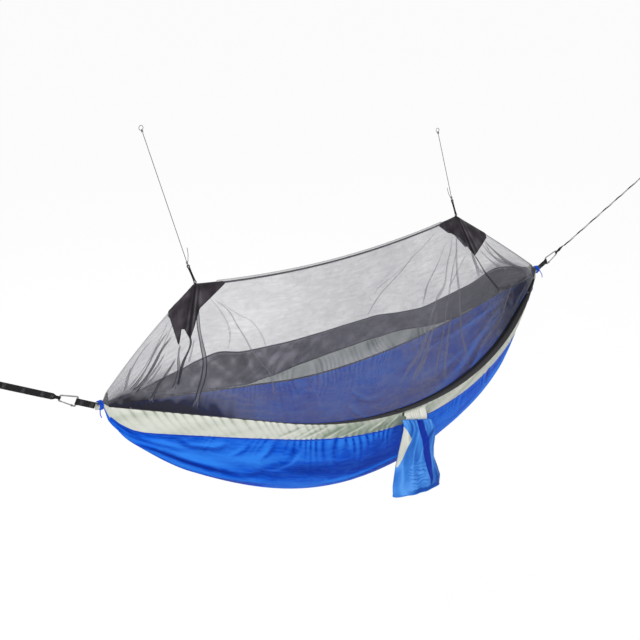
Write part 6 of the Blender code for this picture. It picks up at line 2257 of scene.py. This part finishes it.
@dataclass
class Zip:
    """The coil, the stops, the slider and the pull of the zip along the near edge."""

    reach: float = 1.12
    coil_half: float = 0.0033
    coil_height: float = 0.0024
    coil_lift: float = 0.0013
    tooth: float = 0.0026

    def build(self, shelf: Shelf, loops: Loops) -> None:
        """Make the coil's teeth and dress the slider, its pull and the stops.

        Args:
            shelf: where the pieces go.
            loops: the cloth that carries the zip.
        """
        mark = Panel.TAPE_OUTER.start
        places = np.arange(-self.reach, self.reach, self.tooth / 5.0)
        low, part = loops.between(places)

        def at(column: int, rows: Array) -> Array:
            """Return a loop column's values between places."""
            return rows[low, column] * (1.0 - part) + rows[low + 1, column] * part

        centre, normal = at(mark, loops.points), unit(at(mark, loops.normals))
        across = unit(at(mark + 1, loops.points) - at(mark - 1, loops.points))
        tooth = 0.5 - 0.5 * np.cos(2.0 * math.pi * places / self.tooth)
        rings = []
        for u, v in ((-1.0, 0.0), (-1.0, 0.45), (-0.75, 0.85), (-0.25, 1.0), (0.25, 1.0), (0.75, 0.85),
                     (1.0, 0.45), (1.0, 0.0)):
            high = self.coil_lift + self.coil_height * v * (0.62 + 0.38 * tooth)
            wide = self.coil_half * u * (0.88 + 0.12 * tooth)
            rings.append(centre + across * wide[:, None] + normal * high[:, None])
        piece = grid_object("zip_teeth", np.stack(rings, axis=1), closed=True)
        shelf.put(piece, COIL, Body.HAMMOCK, ("zip_coil",), sharp=70.0)
        for name, finish in (("slider", TRIM), ("pull", TRIM), ("stop_left", METAL_CAD),
                             ("stop_right", METAL_CAD)):
            shelf.dress("zip_" + name, finish)


@dataclass
class StuffSack:
    """The stuff sack, a limp tapered bag with a stripe and a strip, and the pale cloth it hangs from."""

    x: float = 0.12
    height: float = 0.352
    top_depth: float = 0.004
    mouth_depth: float = 0.033
    top_tilt: float = -15.5
    mouth_tilt: float = 9.5
    wall: float = 0.0010
    rows: int = 110
    around: int = 168
    hanger_span: tuple[float, float] = (-0.062, 0.066)
    hanger_steps: int = 22
    outline: Marks = (
        (0.0, 0.088, 0.0), (0.06, 0.089, 0.009), (0.14, 0.094, 0.016), (0.29, 0.103, 0.011),
        (0.42, 0.106, 0.001), (0.55, 0.113, -0.003), (0.72, 0.131, 0.004), (0.86, 0.143, 0.010),
        (1.0, 0.139, 0.009))
    stripe: Marks = (
        (0.0, -0.126, 0.288), (0.14, -0.13, 0.28), (0.29, 0.10, 0.536), (0.42, 0.245, 0.64),
        (0.55, 0.333, 0.70), (0.72, 0.364, 0.592), (0.85, 0.42, 0.54), (0.94, 0.455, 0.475))
    strip: Marks = (
        (0.10, -0.9995, -0.98), (0.15, -0.9995, -0.83), (0.25, -0.9995, -0.52), (0.325, -0.9995, -0.635),
        (0.42, -0.9995, -0.75), (0.50, -0.9995, -0.84), (0.60, -0.9995, -0.975))

    def top(self, shape: TentShape) -> Array:
        """Return the middle of the sack's sewn top edge, clear of the band that it hangs before."""
        clear = 0.003 + 0.031 * (0.012 / 0.34) ** 0.8 + 0.006
        return shape.edge(np.array([self.x]), True)[0] - np.array([0.0, clear, 0.052])

    @staticmethod
    def crumple(s: Array, f: Array, front: Array) -> tuple[Array, Array]:
        """Return the sack's folds as heights over 1 mm and its painted light and shade.

        Args:
            s: shares of its height down.
            f: places across it, from -1 to 1.
            front: 1 on the front, 0 on the back.

        Returns:
            Heights and painted shading tones.
        """
        top = cusps(math.pi * f * 3.3 + 4.0 * speckle(f * 2.0, 3.0 * s, 3.3) + 1.2 * s) * np.exp(-s / 0.11)
        drop = creases(speckle(2.2 * f + 1.6 * s, 2.0 * s - 0.5 * f, 8.8)) - 0.3
        broad = speckle(2.6 * f, 2.2 * s, 31.4)
        patch = np.exp(-(((f + 0.05) / 0.40) ** 4) - ((s - 0.73) / 0.17) ** 4)
        across = cusps(math.pi * (s * 19.0 + 0.9 * speckle(f * 4.0, s * 9.0, 12.0))) * patch
        across = across * (0.45 + 1.1 * np.clip(0.5 + 1.5 * speckle(f * 5.0, s * 15.0, 4.4), 0.0, 1.0))
        slanted = (s - 0.14) / 0.24 - (0.95 - f) / 0.80
        fold = bell(slanted, 0.11) * smooth_step(0.02, 0.2, 1.05 - f) * smooth_step(0.0, 0.15, f - 0.1)
        # Painted shade: along the mouth's hem, and down the sack's right side.
        hem = smooth_step(0.925, 0.95, s + 0.02 * speckle(f * 5.0, 0.0, 1.0)) * smooth_step(-0.75, -0.2, f)
        side = smooth_step(0.70, 0.80, f) * smooth_step(0.52, 0.66, s)
        sewn = 2.8 * (0.2 + 0.8 * front)
        height = sewn * top + 3.6 * broad * smooth_step(0.02, 0.3, s)
        height = height + 2.6 * drop * smooth_step(0.05, 0.3, s)
        height = height * (1.0 - 0.35 * s) + front * (1.4 * across + 2.4 * fold)
        # Painted light and shade follow the folds. The slanted fold, the mouth's hem and the right side are
        # painted dark as shade.
        tone = top + 1.1 * broad + 1.2 * drop + 0.02
        tone = tone * (1.0 - 0.6 * patch) + front * (0.9 * across - 1.8 * fold - 1.7 * hem - 0.9 * side)
        return height, np.clip(tone, -1.0, 1.0)

    def point(self, share: Array, angle: Array, shape: TentShape, grow: float = 0.0) -> tuple[Array, Array]:
        """Return points on the sack's crumpled side, and the painted shade and highlight of its folds.

        Args:
            share: shares of its height down.
            angle: angles round it, -90 degrees being its front.
            shape: the tent's curves.
            grow: how far outside its surface.

        Returns:
            Points, shares by angles by three, and painted shading tones.
        """
        marks = np.array(self.outline)
        half, shift = (np.interp(share, marks[:, 0], marks[:, k])[:, None] for k in (1, 2))
        depth = (self.top_depth + (self.mouth_depth - self.top_depth) * share ** 0.8)[:, None]
        s, a = np.broadcast_arrays(share[:, None], angle[None, :])
        f = np.cos(a)
        folds, tone = self.crumple(s, f + 0.35 * (np.sin(a) > 0.0) * (1.0 - np.abs(f)), np.sin(a) < 0.0)
        norm_x, norm_y = f * depth, np.sin(a) * half
        size = np.hypot(norm_x, norm_y) + 1e-9
        out = 0.001 * folds * np.abs(np.sin(a)) ** 0.5 + grow
        x, y = half * f + out * norm_x / size, depth * np.sin(a) + out * norm_y / size
        tilt = np.tan(np.radians(self.top_tilt + self.mouth_tilt * s))
        drop = -self.height * s - 0.004 * speckle(f * 2.5, 2.0, 17.0) * s
        return self.top(shape) + np.stack([x + shift, y, x * tilt + drop], axis=-1), tone

    def build(self, shelf: Shelf, shape: TentShape, loops: Loops) -> None:
        """Make the bag, its two trims, the hem round its mouth and the puckered cloth that it hangs from.

        Args:
            shelf: where the pieces go.
            shape: the tent's curves.
            loops: the cloth that it hangs from.
        """
        turns = np.linspace(0.0, 2.0 * math.pi, self.around + 1)
        points, tone = self.point(np.linspace(0.0, 1.0, self.rows), turns, shape)
        points[:, -1] = points[:, 0]
        bag = grid_object("sack_bag", points, tone=tone)
        weld(bag.data, capped=False)
        shelf.put(bag, SACK_BLUE, Body.SACK, ("stuff_sack",), self.wall)
        for name, node, finish, marks in (("sack_dark_stripe", "sack_stripe", STRIPE, self.stripe),
                                          ("sack_pale_strip", "sack_side_trim", SAGE, self.strip)):
            table = np.array(marks)
            down = np.linspace(table[0, 0], table[-1, 0], 90)
            left, right = (np.interp(down, table[:, 0], table[:, k]) for k in (1, 2))
            steps = np.linspace(0.0, 1.0, 16)
            rows = [self.point(np.array([s]), -np.arccos(a + (b - a) * steps), shape, 0.0019)
                    for s, a, b in zip(down, left, right)]
            piece = grid_object(name, np.concatenate([row[0] for row in rows]),
                                tone=np.concatenate([row[1] for row in rows]))
            shelf.put(piece, finish, Body.SACK, (node,), 0.0005)
        ring = self.point(np.array([0.994]), np.linspace(0.0, 2.0 * math.pi, 121), shape)[0][0]
        shelf.put(rope("sack_mouth_hem", ring, 0.0022, 10), SACK_BLUE, Body.SACK)
        self.hanger(shelf, shape, loops)

    def hanger(self, shelf: Shelf, shape: TentShape, loops: Loops) -> None:
        """Make the pale puckered cloth from the near band to the back of the sack's top.

        Args:
            shelf: where the piece goes.
            shape: the tent's curves.
            loops: the cloth that it hangs from.
        """
        shifts = np.linspace(*self.hanger_span, 90)
        mark, top, out = Panel.NEAR_BAND.start, self.top(shape), np.array([0.0, -1.0, 0.25])
        swell = np.sin(math.pi * np.clip(np.linspace(0.0, 1.25, self.hanger_steps), 0.0, 1.0)) ** 0.8
        rows, shades = [], []
        for i, shift in zip(loops.between(self.x + shifts)[0], shifts):
            line, normal = loops.points[i], loops.normals[i]
            start = line[mark + 1] + normal[mark + 1] * 0.0022
            second = line[mark + 4] + normal[mark + 4] * 0.0030
            back = top + np.array([shift, 0.0062, shift * math.tan(math.radians(self.top_tilt))])
            above = np.array([0.0, 0.0, 0.012])
            route = smooth_path([start, second, back + above, back - above], self.hanger_steps)
            pucker = cusps(math.pi * shift / 0.021 + 2.4 * math.sin(shift * 55.0))
            rows.append(route + out * (0.0034 * pucker * swell)[:, None])
            # Painted highlight and shade of the puckers, lighter overall towards the crest colour.
            shades.append(0.4 + 0.9 * pucker * swell)
        piece = grid_object("sack_hanger", np.array(rows), tone=np.clip(np.array(shades), -1.0, 1.0))
        shelf.put(piece, SAGE, Body.HAMMOCK, ("sack_tab_left", "sack_tab_right"), 0.0008)


@dataclass
class Studio:
    """The camera, the white floor and backdrop, and the soft lamps."""

    eye: tuple[float, float, float] = (-1.6121491, -3.84050039, 1.80328437)
    right: tuple[float, float, float] = (0.77269016, -0.63478336, 0.0)
    up: tuple[float, float, float] = (0.23267709, 0.28322623, 0.93040006)
    back: tuple[float, float, float] = (-0.59060248, -0.71891097, 0.36654566)
    focal_pixels: float = 1241.82
    picture: float = 640.0
    sensor: float = 36.0
    aim: tuple[float, float, float] = (1.6, 0.0, -0.35)
    floor_middle: tuple[float, float, float] = (1.9, 0.0, -1.45)

    def camera(self) -> None:
        """Set the camera where the photograph was taken from."""
        data = bpy.data.cameras.new("camera")
        data.sensor_width = self.sensor
        data.lens = self.focal_pixels / self.picture * self.sensor
        data.clip_end = 100.0
        holder = add_object("camera", data)
        turn = Matrix((self.right, self.up, self.back)).transposed().to_4x4()
        holder.matrix_world = Matrix.Translation(self.eye) @ turn
        bpy.context.scene.camera = holder

    def lamp(self, name: str, place: tuple[float, float, float], size: float, power: float) -> None:
        """Add a soft square lamp that faces the middle of the tent.

        Args:
            name: its name.
            place: where it stands.
            size: the length of its side.
            power: its power in watts.
        """
        data = bpy.data.lights.new(name, "AREA")
        data.energy = power
        data.size = size
        holder = add_object(name, data)
        holder.location = place
        holder.rotation_euler = (Vector(self.aim) - Vector(place)).to_track_quat("-Z", "Y").to_euler()

    @staticmethod
    def looked_at(nodes: Nodes) -> Socket:
        """Tell the rays that show a surface from those that only light others.

        Args:
            nodes: the tree to wire.

        Returns:
            1 for the camera's rays and those that glossy and clear surfaces send on, 0 for others.
        """
        path = nodes.add("ShaderNodeLightPath")
        seen = nodes.math("MAXIMUM", path.outputs["Is Camera Ray"], path.outputs["Is Glossy Ray"])
        return nodes.math("MAXIMUM", seen, path.outputs["Is Transmission Ray"])

    def build(self) -> None:
        """Light the scene and lay the floor."""
        bpy.context.scene.view_settings.view_transform = "Standard"
        world = bpy.data.worlds.new("studio")
        bpy.context.scene.world = world
        world.use_nodes = True
        world.node_tree.nodes.clear()
        nodes = Nodes(world.node_tree)
        plain = nodes.add("ShaderNodeBackground", {"Color": (1.0, 1.0, 0.99, 1.0), "Strength": 0.52})
        white = nodes.add("ShaderNodeBackground", {"Color": (1.0, 1.0, 1.0, 1.0), "Strength": 1.0})
        share = self.looked_at(nodes)
        mixed = nodes.add("ShaderNodeMixShader", {0: share, 1: plain.outputs[0], 2: white.outputs[0]})
        nodes.add("ShaderNodeOutputWorld", {"Surface": mixed.outputs[0]})
        self.lamp("key", (-1.6, -3.9, 2.3), 1.8, 190.0)
        self.lamp("fill", (4.8, -3.4, 1.0), 2.4, 24.0)
        self.lamp("rim", (2.2, 3.2, 3.0), 2.2, 80.0)
        self.floor()

    def floor(self) -> None:
        """Lay the pale floor, white to the camera, which keeps the tent's soft shadow."""
        bm = bmesh.new()
        bmesh.ops.create_grid(bm, x_segments=1, y_segments=1, size=40.0)
        bmesh.ops.translate(bm, verts=bm.verts, vec=self.floor_middle)
        holder = add_object("floor", mesh_of("floor", bm))
        made = bpy.data.materials.new("floor")
        made.use_nodes = True
        made.node_tree.nodes.clear()
        nodes = Nodes(made.node_tree)
        matt = nodes.add("ShaderNodeBsdfDiffuse", {"Color": (0.86, 0.86, 0.86, 1.0)})
        glow = nodes.add("ShaderNodeEmission", {"Color": (1.0, 1.0, 1.0, 1.0), "Strength": 1.04})
        share = nodes.math("MULTIPLY", self.looked_at(nodes), 0.88)
        mixed = nodes.add("ShaderNodeMixShader", {0: share, 1: matt.outputs[0], 2: glow.outputs[0]})
        nodes.add("ShaderNodeOutputMaterial", {"Surface": mixed.outputs[0]})
        holder.data.materials.append(made)


def main() -> None:
    """Build the tent's looks in order."""
    logging.basicConfig(level=logging.INFO, format="%(name)s: %(message)s")
    shape = TentShape()
    shelf = Shelf(shape.origin())
    studio = Studio()
    studio.camera()
    for name, peak, length, lean, tail_turn, body in (
            ("left", shape.left_peak, 0.56, 17.4, 17.0, Body.LEFT_CORD),
            ("right", shape.right_peak, 0.32, 17.7, -9.0, Body.RIGHT_CORD)):
        NetCord(name, peak, length, math.radians(lean), math.radians(tail_turn), body).build(shelf, shape)
    fine, coarse = Loops(shape, Drape(), 601), Loops(shape, Drape(), 401)
    HammockCloth(coarse, fine).build(shelf)
    PeakPatch("left", ((-0.889, 0.018), (-0.868, 0.152), (-0.846, 0.104), (-0.832, 0.116), (-0.815, 0.172),
                       (-0.755, 0.10), (-0.612, 0.008)),
              ((-0.889, 0.018), (-0.83, 0.12), (-0.755, 0.085), (-0.612, 0.008)),
              ((-0.752, 0.0), (-0.822, 0.165))).build(shelf, fine)
    PeakPatch("right", ((0.60, 0.008), (0.67, 0.07), (0.79, 0.152), (0.86, 0.065), (0.895, 0.018)),
              ((0.60, 0.008), (0.68, 0.075), (0.80, 0.12), (0.895, 0.018)),
              ((0.712, 0.0), (0.785, 0.150))).build(shelf, fine)
    Zip().build(shelf, fine)
    for line in (Line("left", -1, shape.line_angles[0], 0.094, 0.33),
                 Line("right", 1, shape.line_angles[1], 0.070, 0.80, math.radians(44.0))):
        line.build(shelf)
        Whip(line.name, line.side).build(shelf)
    StuffSack().build(shelf, shape, fine)
    studio.build()


if __name__ == "__main__":
    main()
